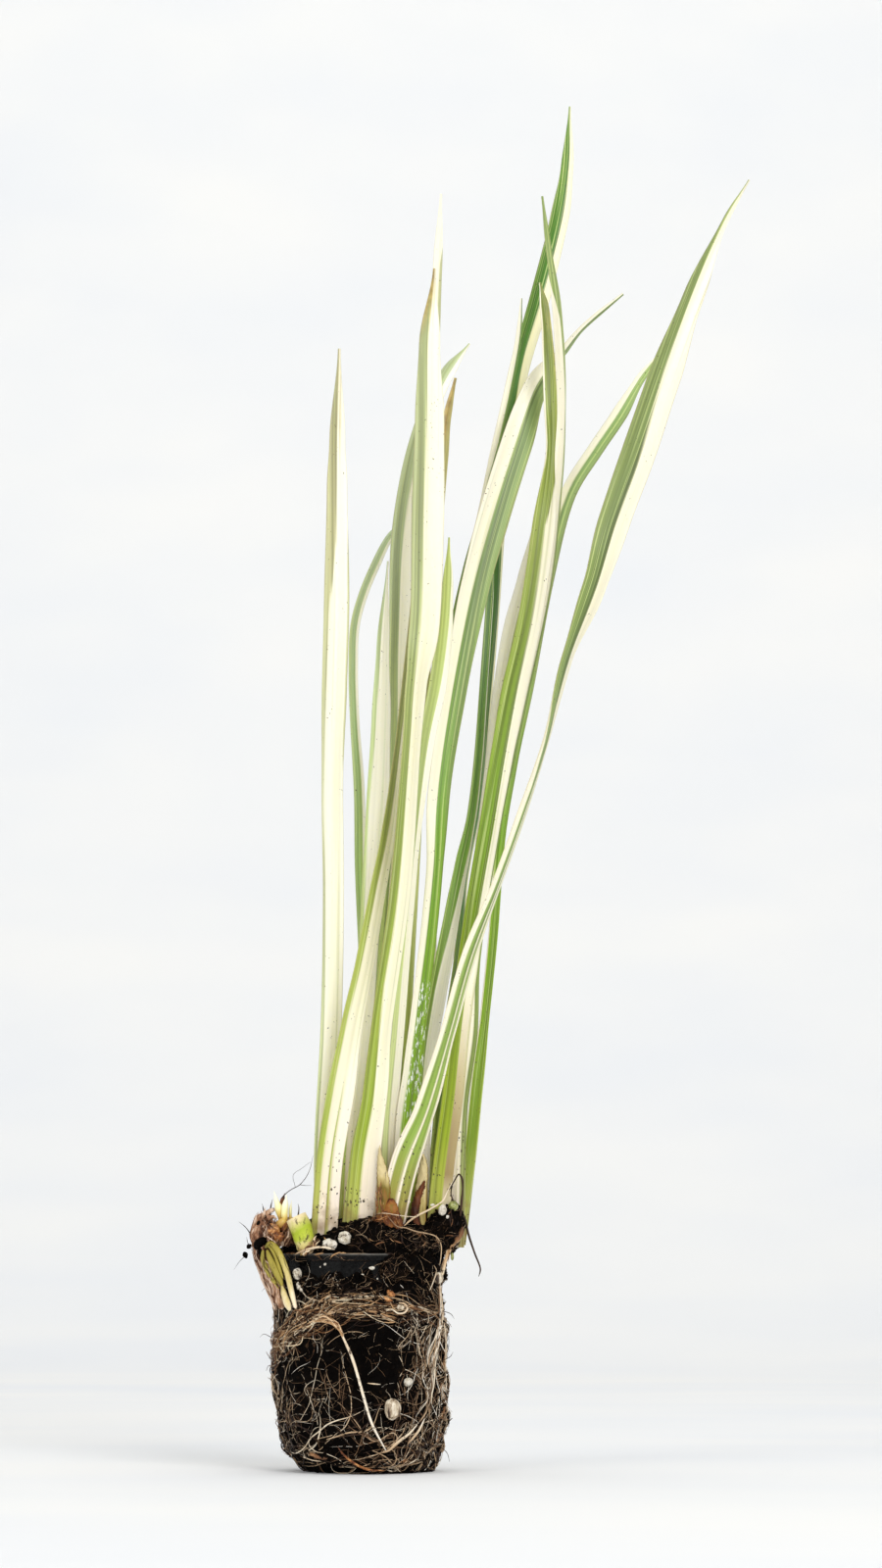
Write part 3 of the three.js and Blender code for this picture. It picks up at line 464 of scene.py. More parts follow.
        "bands": [(66, -1.2, 0.5), (280, -1.2, 0.8), (300, -0.6, 1.2), (318, 0.3, 1.2), (366, 0.2, 1.2)],
        "stations": [(18, 3, 66, 4, 0), (21, 5, 134, 4, 20), (23, 7, 194, 4, 30), (26, 8, 235, 3.5, 30),
            (29.5, 9, 260, 3.5, 20), (33.5, 10, 278, 3.5, 10), (37.5, 11, 294, 3, 10),
            (41.5, 12, 314, 3, 20), (46.5, 13, 337, 3, 30), (49.5, 14, 353, 2, 20),
            (50.5, 14, 366, 0.6, 0)],
    },
}


def makeLeafTree():
    tree, given, add = newGeometryTree("swordBlade", {
        "Around": "Int", "Edge": "Float", "Pleat": "Float", "Blade Material": "Material"})
    spine = add("GeometryNodeMeshToCurve", given["Geometry"])
    ring = add("GeometryNodeCurvePrimitiveCircle", Resolution=given["Around"], Radius=1.0)
    spot = add("ShaderNodeSeparateXYZ", add("GeometryNodeInputPosition"))
    for name, axis in (("acrossC", "X"), ("upC", "Y")):
        ring = add("GeometryNodeStoreNamedAttribute", Geometry=ring, Name=name, Value=spot.outputs[axis],
                   data_type="FLOAT", domain="POINT")
    swept = add("GeometryNodeCurveToMesh", Curve=spine, Profile_Curve=ring, Fill_Caps=True)
    across, up, halfWidth, ridge, spinePos, sideDir, outDir = (
        add("GeometryNodeInputNamedAttribute", Name=name, data_type=kind)
        for kind, names in (("FLOAT", ("acrossC", "upC", "halfWidth", "ridge")),
                            ("FLOAT_VECTOR", ("spinePos", "sideDir", "outDir"))) for name in names)
    away = add("ShaderNodeMath", across, operation="ABSOLUTE")
    inner = add("ShaderNodeMath", 1.0, away, operation="SUBTRACT", use_clamp=True)
    slope = add("ShaderNodeMath", inner, leafSettings["ridgePower"], operation="POWER")
    rise = add("ShaderNodeMath", slope, ridge, operation="MULTIPLY")
    waves = add("ShaderNodeMath", across, leafSettings["pleatTurns"], operation="MULTIPLY")
    wave = add("ShaderNodeMath", waves, operation="COSINE")
    pleat = add("ShaderNodeMath", wave, given["Pleat"], operation="MULTIPLY")
    body = add("ShaderNodeMath", rise, pleat, operation="ADD")
    thick = add("ShaderNodeMath", body, given["Edge"], operation="ADD")
    side = add("ShaderNodeMath", up, 3.0, operation="MULTIPLY")
    limited = add("ShaderNodeClamp", Value=side, Min=-1.0, Max=1.0)
    outBy = add("ShaderNodeMath", thick, limited, operation="MULTIPLY")
    sideBy = add("ShaderNodeMath", across, halfWidth, operation="MULTIPLY")
    outward = add("ShaderNodeVectorMath", outDir, Scale=outBy, operation="SCALE")
    sideward = add("ShaderNodeVectorMath", sideDir, Scale=sideBy, operation="SCALE")
    moved = add("ShaderNodeVectorMath", outward, sideward, operation="ADD")
    at = add("ShaderNodeVectorMath", spinePos, moved, operation="ADD")
    shaped = add("GeometryNodeSetPosition", Geometry=swept, Position=at)
    smooth = add("GeometryNodeSetShadeSmooth", Geometry=shaped)
    return endTree(tree, smooth, given["Blade Material"])


def makeLeaf(name, facts, seed, tree):
    s = leafSettings
    rows = list(alongPath(facts["stations"], s["rowsPerStation"]))
    columns = {"spinePos": [], "sideDir": [], "outDir": [], "halfWidth": [], "ridge": []}
    for i, (place, (width, turn), at) in enumerate(rows):
        way = math.radians(turn)
        forward = headingAt(rows, i)
        side = Vector((math.cos(way), math.sin(way), 0))
        side = (side - forward * side.dot(forward)).normalized()
        ridge = max(0.0, (min(s["ridgeLeast"] + s["ridgeShare"] * width, width) - s["edge"]) / 2)
        row = (place * mm, side, side.cross(forward), width / 2 * mm, ridge * mm)
        for column, value in zip(columns.values(), row):
            column.append(value)
    places = columns["spinePos"]
    heights = [p.z / mm for p in places]
    for key, low, high in (("bands", "bandLow", "bandHigh"), ("bands2", "bandLow2", "bandHigh2")):
        columns[low], columns[high] = zip(*[between(facts.get(key, s["noBand"]), z) for z in heights])
    foot = mixed(linear(facts["green"][0]), linear(facts.get("foot", s["footTone"])),
                 1.0 if "foot" in facts else s["footShare"])
    greenStops = [(s["footHeight"], *foot)]
    greenStops += [(z, *linear(code)) for z, code in zip(s["toneHeights"], facts["green"])]
    creamStops = facts.get("creamStops", [(s["soilTop"], s["creamFoot"]), (s["blushTop"], facts["cream"])])
    creamStops = [(z, *linear(code)) for z, code in creamStops]
    start, strength, drySide = facts.get("dry", s["notDry"])
    wetFrom, wetTo = facts.get("wet", s["notWet"])
    blushReach = s["blushTop"] - s["soilTop"]
    columns |= {
        "alongLeaf": [p.z for p in places],
        "leafSeed": [seed * s["seedStep"]] * len(places),
        "greenTone": [between(greenStops, z) for z in heights],
        "creamTone": [between(creamStops, z) for z in heights],
        "drySide": [s["drySideShare"] * drySide * float(z > start) for z in heights],
        "dryness": [strength * min(1.0, max(0.0, (z - start) / s["dryReach"])) for z in heights],
        "wet": [float(wetFrom < z < wetTo) for z in heights],
        "nearSoil": [min(1.0, max(0.0, (s["blushTop"] - z) / blushReach)) for z in heights],
    }
    piece = newPiece(name + "_blade", places, [(i, i + 1) for i in range(len(places) - 1)])
    writeAttributes(piece.data, columns)
    applyTree(piece, tree, {"Around": s["around"], "Edge": s["edge"] / 2 * mm, "Pleat": s["pleat"] * mm,
                            "Blade Material": leafMaterial})
    dressPiece(piece, slotOf[name], name)


leafTree = makeLeafTree()
for number, (leafName, leafFacts) in enumerate(leaves.items()):
    makeLeaf(leafName, leafFacts, number + 1, leafTree)
print("leaves done:", len(leaves))


# Rods along a path: roots, buds, shoots and rhizomes, with a radius and a tone at each point
def makeRodTree():
    tree, given, add = newGeometryTree("grownRod", {
        "Sides": "Int", "Lump": "Float", "Lump Scale": "Float", "Grooves": "Float", "Groove Depth": "Float",
        "Rod Material": "Material"})
    spine = add("GeometryNodeMeshToCurve", given["Geometry"])
    radius, turnC = (add("GeometryNodeInputNamedAttribute", Name=name, data_type="FLOAT")
                     for name in ("radius", "turnC"))
    ring = add("GeometryNodeCurvePrimitiveCircle", Resolution=given["Sides"], Radius=1.0)
    spot = add("ShaderNodeSeparateXYZ", add("GeometryNodeInputPosition")).outputs
    angle = add("ShaderNodeMath", spot["Y"], spot["X"], operation="ARCTAN2")
    marked = add("GeometryNodeStoreNamedAttribute", Geometry=ring, Name="turnC", Value=angle,
                 data_type="FLOAT", domain="POINT")
    swept = add("GeometryNodeCurveToMesh", Curve=spine, Profile_Curve=marked, Scale=radius, Fill_Caps=True)
    turns = add("ShaderNodeMath", turnC, given["Grooves"], operation="MULTIPLY")
    groove = add("ShaderNodeMath", turns, operation="COSINE")
    carved = add("ShaderNodeMath", groove, given["Groove Depth"], operation="MULTIPLY")
    lumps = add("ShaderNodeTexNoise", Scale=given["Lump Scale"], Detail=3.0)
    centred = add("ShaderNodeMath", lumps, 0.5, operation="SUBTRACT")
    lumpy = add("ShaderNodeMath", centred, given["Lump"], carved, operation="MULTIPLY_ADD")
    height = add("ShaderNodeMath", lumpy, radius, operation="MULTIPLY")
    push = add("ShaderNodeVectorMath", add("GeometryNodeInputNormal"), Scale=height, operation="SCALE")
    shaped = add("GeometryNodeSetPosition", Geometry=swept, Offset=push)
    smooth = add("GeometryNodeSetShadeSmooth", Geometry=shaped)
    return endTree(tree, smooth, given["Rod Material"])


rodTree = makeRodTree()
rowsPerPoint = 8
leastRadius = 0.02


def roundEnds(path):
    lengths = [0.0]
    for a, b in zip(path, path[1:]):
        lengths.append(lengths[-1] + (b[0] - a[0]).length)
    rounded = []
    for (place, radius, tone), at in zip(path, lengths):
        short = 1 - min(1.0, min(at, lengths[-1] - at) / max(radius, 1e-6))
        rounded.append((place, radius * math.sqrt(max(0.0, 1 - short * short)) + leastRadius, tone))
    return rounded


def pathRows(points, blunt=True):  # place, radius and share of the way at each row
    last = len(points) - 1
    rows = [(place, radius, at / last) for place, (radius,), at in alongPath(points, rowsPerPoint)]
    return roundEnds(rows) if blunt else rows


def makeRods(name, slot, material, paths, sides=10, lump=(0, 400), grooves=(0, 0)):
    vertices, edges, columns = [], [], {"radius": [], "tone": []}
    for path in paths:
        edges += [(len(vertices) + i, len(vertices) + i + 1) for i in range(len(path) - 1)]
        vertices += [row[0] * mm for row in path]
        columns["radius"] += [row[1] * mm for row in path]
        columns["tone"] += [row[2] for row in path]
    piece = newPiece(name, vertices, edges)
    writeAttributes(piece.data, columns)
    applyTree(piece, rodTree, {
        "Sides": sides, "Lump": lump[0], "Lump Scale": lump[1], "Grooves": grooves[0],
        "Groove Depth": grooves[1], "Rod Material": material})
    dressPiece(piece, slot)
    return piece


# Skins of the root ball. Each colour comes from the tone along the piece and from patches and grain,
# weighted by mix, and then takes soil stains. "patch" and "grain" are how many a metre holds.
skins = {
    # black moulded polypropylene, wet and dusty: deep black with thin grey scuffs, and a pale line at the rim
    # that paints its highlight together with wear
    "blackPlastic": {"stops": [(0.35, "#010101"), (0.55, "#040404"), (0.64, "#161514"), (0.74, "#5A5650")],
        "patch": 190, "grain": 1100, "mix": (0, 0.6, 0.4), "rough": (0.1, 0.5), "bump": 0.3, "shine": 0.1,
        "rimSheenAndWear": {"height": 0.065, "reach": 0.0007, "tone": "#8E8A83"}},
    # wet black peat compost: soaks up nearly all light, with paler fibre ends
    "blackPeat": {"stops": [(0.3, "#020101"), (0.53, "#070504"), (0.68, "#19110B"), (0.88, "#4E3B29")],
        "patch": 260, "grain": 1700, "mix": (0.22, 0.5, 0.5), "rough": (0.5, 0.95), "bump": 0.9,
        "shine": 0.03},
    # fine living roots, from soil brown to washed cream
    "fineRoot": {"stops": [(0, "#080402"), (0.3, "#2C1A0F"), (0.5, "#7E6045"), (0.7, "#C6A986"),
        (0.86, "#E6D6BC"), (1, "#FAF3E6")], "patch": 300, "grain": 1500, "mix": (0.85, 0.22, 0.1),
        "rough": (0.35, 0.65), "bump": 0.2, "stain": 0.55, "shine": 0.25},
    # older roots of the wrapped band: dark umber to straw
    "agedRoot": {"stops": [(0, "#060201"), (0.3, "#2C180C"), (0.52, "#7E5535"), (0.74, "#CCA374"),
        (1, "#F6E8CA")], "patch": 300, "grain": 1500, "mix": (0.85, 0.22, 0.1), "rough": (0.35, 0.65),
        "bump": 0.2, "stain": 0.55, "shine": 0.25},
    # weathered rhizome bark: torn fibres from near black to pinkish grey
    "rhizomeBark": {"stops": [(0.56, "#1A0C06"), (0.66, "#4A2818"), (0.76, "#8A6046"), (0.85, "#B48E70"),
        (0.96, "#D6BCA6")], "patch": 420, "grain": 1300, "mix": (0.4, 0.8, 0.5), "rough": (0.5, 0.85),
        "bump": 1, "stain": 0.5, "stretch": 0.4, "shine": 0.2},
    # young bud scales, ochre at the foot and nearly white above
    "budScale": {"stops": [(0.1, "#A87A34"), (0.24, "#D8BC60"), (0.44, "#EDE6A6"), (0.8, "#F9F4D4")],
        "patch": 300, "grain": 900, "mix": (0.8, 0.2, 0.1), "rough": (0.3, 0.5), "bump": 0.2, "stain": 0.1,
        "stretch": 0.3},
    # orange-brown young root skin
    "orangeRoot": {"stops": [(0.42, "#2A1208"), (0.49, "#6A3A1C"), (0.56, "#965E30"), (0.63, "#C08A54"),
        (0.74, "#E8C69A")], "patch": 520, "grain": 1300, "mix": (0, 0.65, 0.4), "rough": (0.35, 0.65),
        "bump": 0.8, "stain": 0.55, "shine": 0.3},
    # olive-yellow shoot scales that turn cream towards the cut, with brown fibres
    "shootFlesh": {"stops": [(0.14, "#5A4C18"), (0.28, "#7C7228"), (0.4, "#988A36"), (0.52, "#A89A40"),
        (0.64, "#CDBB78"), (0.78, "#EEDDB8"), (0.95, "#F2DEC6")], "patch": 420, "grain": 1500,
        "mix": (0.6, 0.3, 0.2), "rough": (0.35, 0.65), "bump": 0.8, "stain": 0.36, "stretch": 0.35,
        "shine": 0.3},
    # cut shoot base: cream foot, green waist, pale cut above
    "stubFlesh": {"stops": [(0.2, "#8E7040"), (0.32, "#B8A062"), (0.44, "#D0C67E"), (0.52, "#B4C03A"),
        (0.66, "#A4B42A"), (0.76, "#C6C26A"), (0.86, "#E2D0A0")], "patch": 330, "grain": 1300,
        "mix": (0.7, 0.3, 0.1), "rough": (0.35, 0.65), "bump": 0.6, "stain": 0.56, "stretch": 0.6,
        "shine": 0.3},
    # papery dead leaf sheath: straw in the middle, burnt brown along its edges, olive and brown at its foot
    "paperSheath": {"stops": [(0.33, "#2E1004"), (0.46, "#683414"), (0.6, "#965E22"), (0.73, "#75641F"),
        (0.88, "#B29E60"), (1, "#D0BE8C")], "patch": 420, "grain": 1600, "mix": (0.72, 0.52, 0.28),
        "rough": (0.4, 0.7), "bump": 0.6, "stain": 0.42, "stretch": 0.2, "shine": 0.3},
    # dead dark root
    "darkRoot": {"stops": [(0.3, "#120A06"), (0.7, "#463020")], "patch": 400, "grain": 1500,
        "mix": (0.2, 0.5, 0.3), "rough": (0.4, 0.7), "bump": 0.5, "shine": 0.25},
    # washed pumice and perlite: pale glassy foam with dark pores
    "pumice": {"stops": [(0.3, "#5A4C3C"), (0.41, "#B0A28A"), (0.51, "#DCD4C4"), (0.7, "#F8F4EA")],
        "patch": 500, "grain": 2300, "mix": (0, 0.5, 0.5), "rough": (0.5, 0.9), "bump": 1, "stain": 0.56},
    # weathered seed shell, cream with brown lines
    "seedShell": {"stops": [(0.42, "#2E1E12"), (0.47, "#7E6850"), (0.52, "#C6B69C"), (0.62, "#EDE4D2")],
        "patch": 620, "grain": 1500, "mix": (0, 0.7, 0.3), "rough": (0.3, 0.6), "bump": 0.8, "stain": 0.4,
        "stretch": 0.25},
    # slow-release feed bead, olive resin shell
    "feedBead": {"stops": [(0.36, "#3E3E16"), (0.48, "#7E8440"), (0.58, "#B4B478"), (0.7, "#E6DCC0")],
        "patch": 300, "grain": 1500, "mix": (0, 0.7, 0.3), "rough": (0.15, 0.4), "bump": 0.2, "stain": 0.4},
}
soilStain = {"tone": "#36200F", "patches": 620, "none": 0.72, "reach": 0.3, "soft": 0.08, "share": 0.9}


def makeSkin(name, facts):
    material, add = newMaterial(name)
    place = add("ShaderNodeTexCoord").outputs["Object"]
    tone = add("ShaderNodeAttribute", attribute_name="tone").outputs["Fac"]
    drawn = add("ShaderNodeVectorMath", place, (1.0, 1.0, facts.get("stretch", 1.0)), operation="MULTIPLY")
    patch = add("ShaderNodeTexNoise", Vector=drawn, Scale=facts["patch"], Detail=3.0)
    grain = add("ShaderNodeTexNoise", Vector=drawn, Scale=facts["grain"], Detail=4.0, Roughness=0.65)
    byTone = add("ShaderNodeMath", tone, facts["mix"][0], operation="MULTIPLY")
    byPatch = add("ShaderNodeMath", patch, facts["mix"][1], byTone, operation="MULTIPLY_ADD")
    factor = add("ShaderNodeMath", grain, facts["mix"][2], byPatch, operation="MULTIPLY_ADD")
    colour = add("ShaderNodeValToRGB", Fac=factor, stops=facts["stops"])
    stain = add("ShaderNodeTexNoise", Vector=drawn, Scale=soilStain["patches"], Detail=5.0, Roughness=0.7)
    start = soilStain["none"] - soilStain["reach"] * facts.get("stain", 0)
    stained = add("ShaderNodeMapRange", Value=stain, From_Min=start, From_Max=start + soilStain["soft"],
                  To_Max=soilStain["share"] if "stain" in facts else 0.0)
    colour = add("ShaderNodeMix", Factor=stained, A=colour, B=soilStain["tone"], data_type="RGBA")
    # The pot's rim carries a pale line that paints its highlight, with some wear
    if "rimSheenAndWear" in facts:  # a pale line at one height: the painted highlight of the rim's edge, with some wear
        rimSheenAndWear = facts["rimSheenAndWear"]
        height = add("ShaderNodeSeparateXYZ", place).outputs["Z"]
        offset = add("ShaderNodeMath", height, rimSheenAndWear["height"], operation="SUBTRACT")
        away = add("ShaderNodeMath", offset, operation="ABSOLUTE")
        close = add("ShaderNodeMapRange", Value=away, From_Min=rimSheenAndWear["reach"], From_Max=0.0)
        rimSheenAndScuffs = add("ShaderNodeMath", close, patch, operation="MULTIPLY")
        colour = add("ShaderNodeMix", Factor=rimSheenAndScuffs, A=colour, B=rimSheenAndWear["tone"], data_type="RGBA")
    rough = add("ShaderNodeMapRange", Value=grain, From_Min=0.3, From_Max=0.7, To_Min=facts["rough"][0],
                To_Max=facts["rough"][1])
    bump = add("ShaderNodeBump", Height=grain, Strength=facts["bump"], Distance=0.4 * mm)
    return finishMaterial(material, Base_Color=colour, Roughness=rough, Normal=bump,
                          Specular_IOR_Level=facts.get("shine", 0.5))


skinOf = {name: makeSkin(name, facts) for name, facts in skins.items()}

# Dry leaf sheaths as thin flaps that hug a leaf's foot. Each row is height, left edge, right edge and front
# in mm, and how pale the paper is there.
sheaths = {
    "sheath_1": [
        [(70, 5.6, 9.2, -16.9, 0.3), (76, 5.6, 9.6, -17, 0.38), (80, 5.8, 9.8, -17, 0.46),
         (84.4, 5.9, 9.7, -16.9, 0.5), (87.6, 5.8, 9.4, -16.8, 0.74), (89.6, 5.8, 8.9, -16.7, 0.96),
         (91.8, 5.9, 8.2, -16.7, 1.06), (94.7, 6.1, 7.2, -16.6, 1.06), (97.4, 6.5, 6.6, -16.6, 0.9)],
        [(70, 5.6, 13.4, -17.2, 0.05), (73.4, 5.3, 13.8, -17.6, 0.22), (75.6, 5.8, 13.2, -17.8, 0.1),
         (77.4, 7.6, 12.4, -17.7, 0.34), (79.4, 8.2, 11.9, -17.6, 0.38), (80.6, 8.8, 11.2, -17.5, 0.16),
         (81.4, 9.4, 10.6, -17.4, 0.0)],
    ],
    "sheath_2": [
        [(71, 15.6, 19.6, -12.7, 0.0), (77.6, 15.9, 18.4, -12.7, 0.02), (79.9, 16.2, 18.9, -12.7, 0.08),
         (82.9, 17.2, 19.6, -12.6, 0.12), (85.2, 18.4, 20.2, -12.5, 0.06), (86.9, 19.8, 20.2, -12.4, 0.0)],
        [(71, 16.4, 20.4, -12, 0.6), (84.4, 17.2, 20.7, -12, 0.8), (88.8, 18.1, 21, -12, 0.95),
         (91.8, 18.6, 20.9, -11.9, 0.95), (94.9, 19.3, 19.9, -11.8, 0.8)],
    ],
}
flapShape = {"rowsBetween": 10, "columns": 24, "bulge": 0.9, "thickness": 0.18, "ragged": 0.08,
             "ripple": 0.12, "rimDark": 0.9, "rimPower": 10}


def makeSheath(name, flaps):
    columns = flapShape["columns"]
    vertices, faces, tones = [], [], []
    for n, flap in enumerate(flaps):
        start = len(vertices)
        rows = (len(flap) - 1) * flapShape["rowsBetween"]
        byRow = [(k, *row[1:], row[0]) for k, row in enumerate(flap)]
        for i in range(rows + 1):
            left, right, front, pale, height = between(byRow, i / flapShape["rowsBetween"])
            left += flapShape["ragged"] * (math.sin(0.9 * i + n) + math.sin(2.3 * i + n))
            right += flapShape["ragged"] * (math.sin(0.7 * i + 2 * n) + math.sin(1.9 * i + n))
            for j in range(columns + 1):
                across = 2 * j / columns - 1
                ripple = flapShape["ripple"] * math.sin(4 * across + 0.5 * i) * (1 - abs(across))
                x = (left + right) / 2 + across * (right - left) / 2
                y = front + flapShape["bulge"] * across * across + ripple
                vertices.append((x * mm, y * mm, height * mm))
                tones.append(pale * (1 - flapShape["rimDark"] * abs(across) ** flapShape["rimPower"]))
        for i in range(rows):
            for j in range(columns):
                corner = start + i * (columns + 1) + j
                faces.append((corner, corner + 1, corner + columns + 2, corner + columns + 1))
    piece = newPiece(name + "_paper", vertices, (), faces)
    writeAttributes(piece.data, {"tone": tones})
    thicken = piece.modifiers.new("thickness", "SOLIDIFY")
    thicken.thickness = flapShape["thickness"] * mm
    thicken.offset = 0
    settle(piece)
    piece.data.materials.append(skinOf["paperSheath"])
    smoothFaces(piece.data)
    dressPiece(piece, slotOf[name], name)


for sheathName, flaps in sheaths.items():
    makeSheath(sheathName, flaps)
print("sheaths done:", len(sheaths))

# The compost and the felt of roots keep the solids' shapes, with their surface broken into crumbs.
# Voxel, height and size are in mm, scale is lumps a metre and density crumbs a square metre.
crumbs = {
    "soil": {"voxel": 0.7, "height": 1.5, "scale": 210, "density": 320000, "size": 0.55, "seed": 3},
    "root_mat": {"voxel": 0.8, "height": 1.3, "scale": 230, "density": 176000, "size": 0.45, "seed": 8},
}
# Compost that has spilled over the pot's collar: from and to in degrees, every this many degrees, distance
# from the pot's middle, height and half sizes. In front on the left it leaves the rim bare.
spills = [
    {"from": -66, "to": 206, "every": 8, "radius": 23.4, "height": 60.5, "size": (3.0, 3.4, 5.6)},
    {"from": -154, "to": -70, "every": 7, "radius": 22.9, "height": 55.4, "size": (2.8, 3.0, 3.9)},
]
spillWaves = {"height": 1.2, "heightBeat": 2.1, "size": 0.16, "sizeBeat": 1.7}
crumbLook = {"level": 0.48, "rise": 2.6, "leastLean": -0.25, "palest": 3.0, "sizes": (0.3, 1.6),
             "turns": 6.0, "stretch": (0.6, 1.3)}


def makeCrumbTree():
    s = crumbLook
    tree, given, add = newGeometryTree("crumbledPeat", {
        "Height": "Float", "Scale": "Float", "Density": "Float", "Crumb Size": "Float", "Seed": "Int",
        "Peat Material": "Material"})
    broad = add("ShaderNodeTexNoise", Scale=given["Scale"], Detail=5.0, Roughness=0.7)
    centred = add("ShaderNodeMath", broad, s["level"], operation="SUBTRACT")
    height = add("ShaderNodeMath", centred, given["Height"], operation="MULTIPLY")
    raised = add("ShaderNodeMath", height, s["rise"], operation="MULTIPLY")
    normal = add("GeometryNodeInputNormal")
    push = add("ShaderNodeVectorMath", normal, Scale=raised, operation="SCALE")
    rough = add("GeometryNodeSetPosition", Geometry=given["Geometry"], Offset=push)
    # Crumbs lie on faces that look outwards, mostly small, and each with its own tone, turn and stretch
    place = add("GeometryNodeInputPosition")
    level = add("ShaderNodeVectorMath", place, (1, 1, 0), operation="MULTIPLY")
    spoke = add("ShaderNodeVectorMath", level, operation="NORMALIZE")
    leaning = add("ShaderNodeVectorMath", normal, spoke, operation="DOT_PRODUCT")
    outer = add("ShaderNodeMath", leaning.outputs["Value"], s["leastLean"], operation="GREATER_THAN")
    points = add("GeometryNodeDistributePointsOnFaces", Mesh=rough, Selection=outer,
                 Density=given["Density"], Seed=given["Seed"])
    draw, size = (add("FunctionNodeRandomValue", Min=low, Max=high, Seed=seed, data_type="FLOAT")
                  for low, high, seed in ((0, 1, 4), (*s["sizes"], 5)))
    turn, stretch = (
        add("FunctionNodeRandomValue", Min=[low] * 3, Max=[high] * 3, Seed=seed, data_type="FLOAT_VECTOR")
        for low, high, seed in ((0, s["turns"], 9), (*s["stretch"], 7)))
    rare = add("ShaderNodeMath", draw, s["palest"], operation="POWER")
    toned = add("GeometryNodeStoreNamedAttribute", Geometry=points, Name="tone", Value=rare,
                data_type="FLOAT", domain="POINT")
    scale = add("ShaderNodeMath", size, given["Crumb Size"], operation="MULTIPLY")
    sized = add("ShaderNodeVectorMath", stretch, Scale=scale, operation="SCALE")
    crumb = add("GeometryNodeMeshIcoSphere", Radius=1.0, Subdivisions=1)
    scattered = add("GeometryNodeInstanceOnPoints", Points=toned, Instance=crumb, Rotation=turn,
                    Scale=sized)
    joined = add("GeometryNodeJoinGeometry", rough)
    tree.links.new(add("GeometryNodeRealizeInstances", scattered).outputs[0], joined.inputs[0])
    # Nothing may lie below the floor
    corner = add("ShaderNodeSeparateXYZ", add("GeometryNodeInputPosition")).outputs
    above = add("ShaderNodeMath", corner["Z"], 0.0, operation="MAXIMUM")
    lifted = add("ShaderNodeCombineXYZ", corner["X"], corner["Y"], above)
    standing = add("GeometryNodeSetPosition", Geometry=joined, Position=lifted)
    return endTree(tree, standing, given["Peat Material"])


crumbTree = makeCrumbTree()


def makeCrust(name, pieceName, extra=()):
    facts = crumbs[name]
    shape = bmesh.new()
    shape.from_mesh(cadNodes[name].data)
    bmesh.ops.remove_doubles(shape, verts=shape.verts, dist=0.01 * mm)
    for centre, size in extra:
        addBall(shape, centre, size, 2)
    piece = pieceFromShape(pieceName, shape)
    remesh = piece.modifiers.new("even", "REMESH")
    remesh.mode = "VOXEL"
    remesh.voxel_size = facts["voxel"] * mm
    applyTree(piece, crumbTree, {
        "Height": facts["height"] * mm, "Scale": facts["scale"], "Density": facts["density"],
        "Crumb Size": facts["size"] * mm, "Seed": facts["seed"], "Peat Material": skinOf["blackPeat"]})
    dressPiece(piece, slotOf[name], name)
    return piece


spillLumps = []
for spill in spills:
    for i, degrees in enumerate(range(spill["from"], spill["to"], spill["every"])):
        way = math.radians(degrees)
        centre = (spill["radius"] * math.cos(way), spill["radius"] * math.sin(way),
                  spill["height"] + spillWaves["height"] * math.sin(spillWaves["heightBeat"] * i))
        spillLumps.append((centre, [
            half * (1 + spillWaves["size"] * math.sin(spillWaves["sizeBeat"] * i + 2 * k))
            for k, half in enumerate(spill["size"])]))
soilCrust = makeCrust("soil", "soil_crust", spillLumps)
matCrust = makeCrust("root_mat", "root_mat_crust")

# Stones: each group has its skin, and each stone its centre and radii in mm. The first six stand for solids.
stones = {
    "grain_1": ("pumice", [(-8.2, -22.4, 67.8, 2.1, 1.6, 1.5)]),
    "grain_2": ("pumice", [(-3.8, -21.6, 69.6, 1.8, 1.6, 2)]),
    "grain_3": ("pumice", [(-18, -19.2, 59.2, 1.3, 1.1, 1.6)]),
    "grain_4": ("seedShell", [(10.7, -25.2, 19.2, 2.4, 1.7, 3.2)]),
    "grain_5": ("pumice", [(15.2, -22.4, 27, 1.1, 1, 1.1)]),
    "grain_6": ("pumice", [(25.4, -13.2, 78, 1.1, 1, 1.5)]),
    "perlite_bits": ("pumice", [(-17.6, -19.6, 55.4, 0.6, 0.6, 0.9), (-16.8, -20, 54.2, 0.5, 0.5, 0.6),
        (26.9, -12.8, 76, 0.5, 0.5, 0.5), (28.1, -12, 74.3, 0.5, 0.5, 0.9),
        (15.4, -13.2, 80.5, 0.5, 0.4, 0.5), (22.5, -13.4, 79.6, 0.6, 0.4, 0.3),
        # the flecks on the pot's collar in front paint the glints of the wet plastic as well as grit
        (4.4, -25.4, 60.7, 0.7, 0.4, 0.35), (1.6, -25.6, 58.8, 0.5, 0.3, 0.25),
        (-8.6, -22.4, 63.6, 0.4, 0.2, 0.2), (-11, -21.2, 61, 0.2, 0.2, 0.3),
        (-9.6, -22, 61.8, 0.24, 0.2, 0.16), (6, -23.6, 57.4, 0.3, 0.2, 0.25), (-9, 14, 75.5, 1.2, 1, 0.9),
        (16, 15, 75, 1.4, 1.2, 1), (-14, 21.6, 66, 1.2, 1.2, 1.2), (27.8, 12.4, 70, 0.9, 0.9, 1.1)]),
    "seed_nuts": ("seedShell", [(24.2, -12.2, 57.8, 1.5, 1.4, 1.7), (13, -25.6, 49, 1, 0.8, 0.9)]),
    "feed_beads": ("feedBead", [(28.7, -11.6, 79.3, 1.5, 1.2, 1.6), (28.4, -8, 64.2, 0.5, 0.3, 1.2)]),
}
stoneDents = {"pumice": 0.8, "seedShell": 0.5, "feedBead": 0.0}  # in mm
dentScale = 420
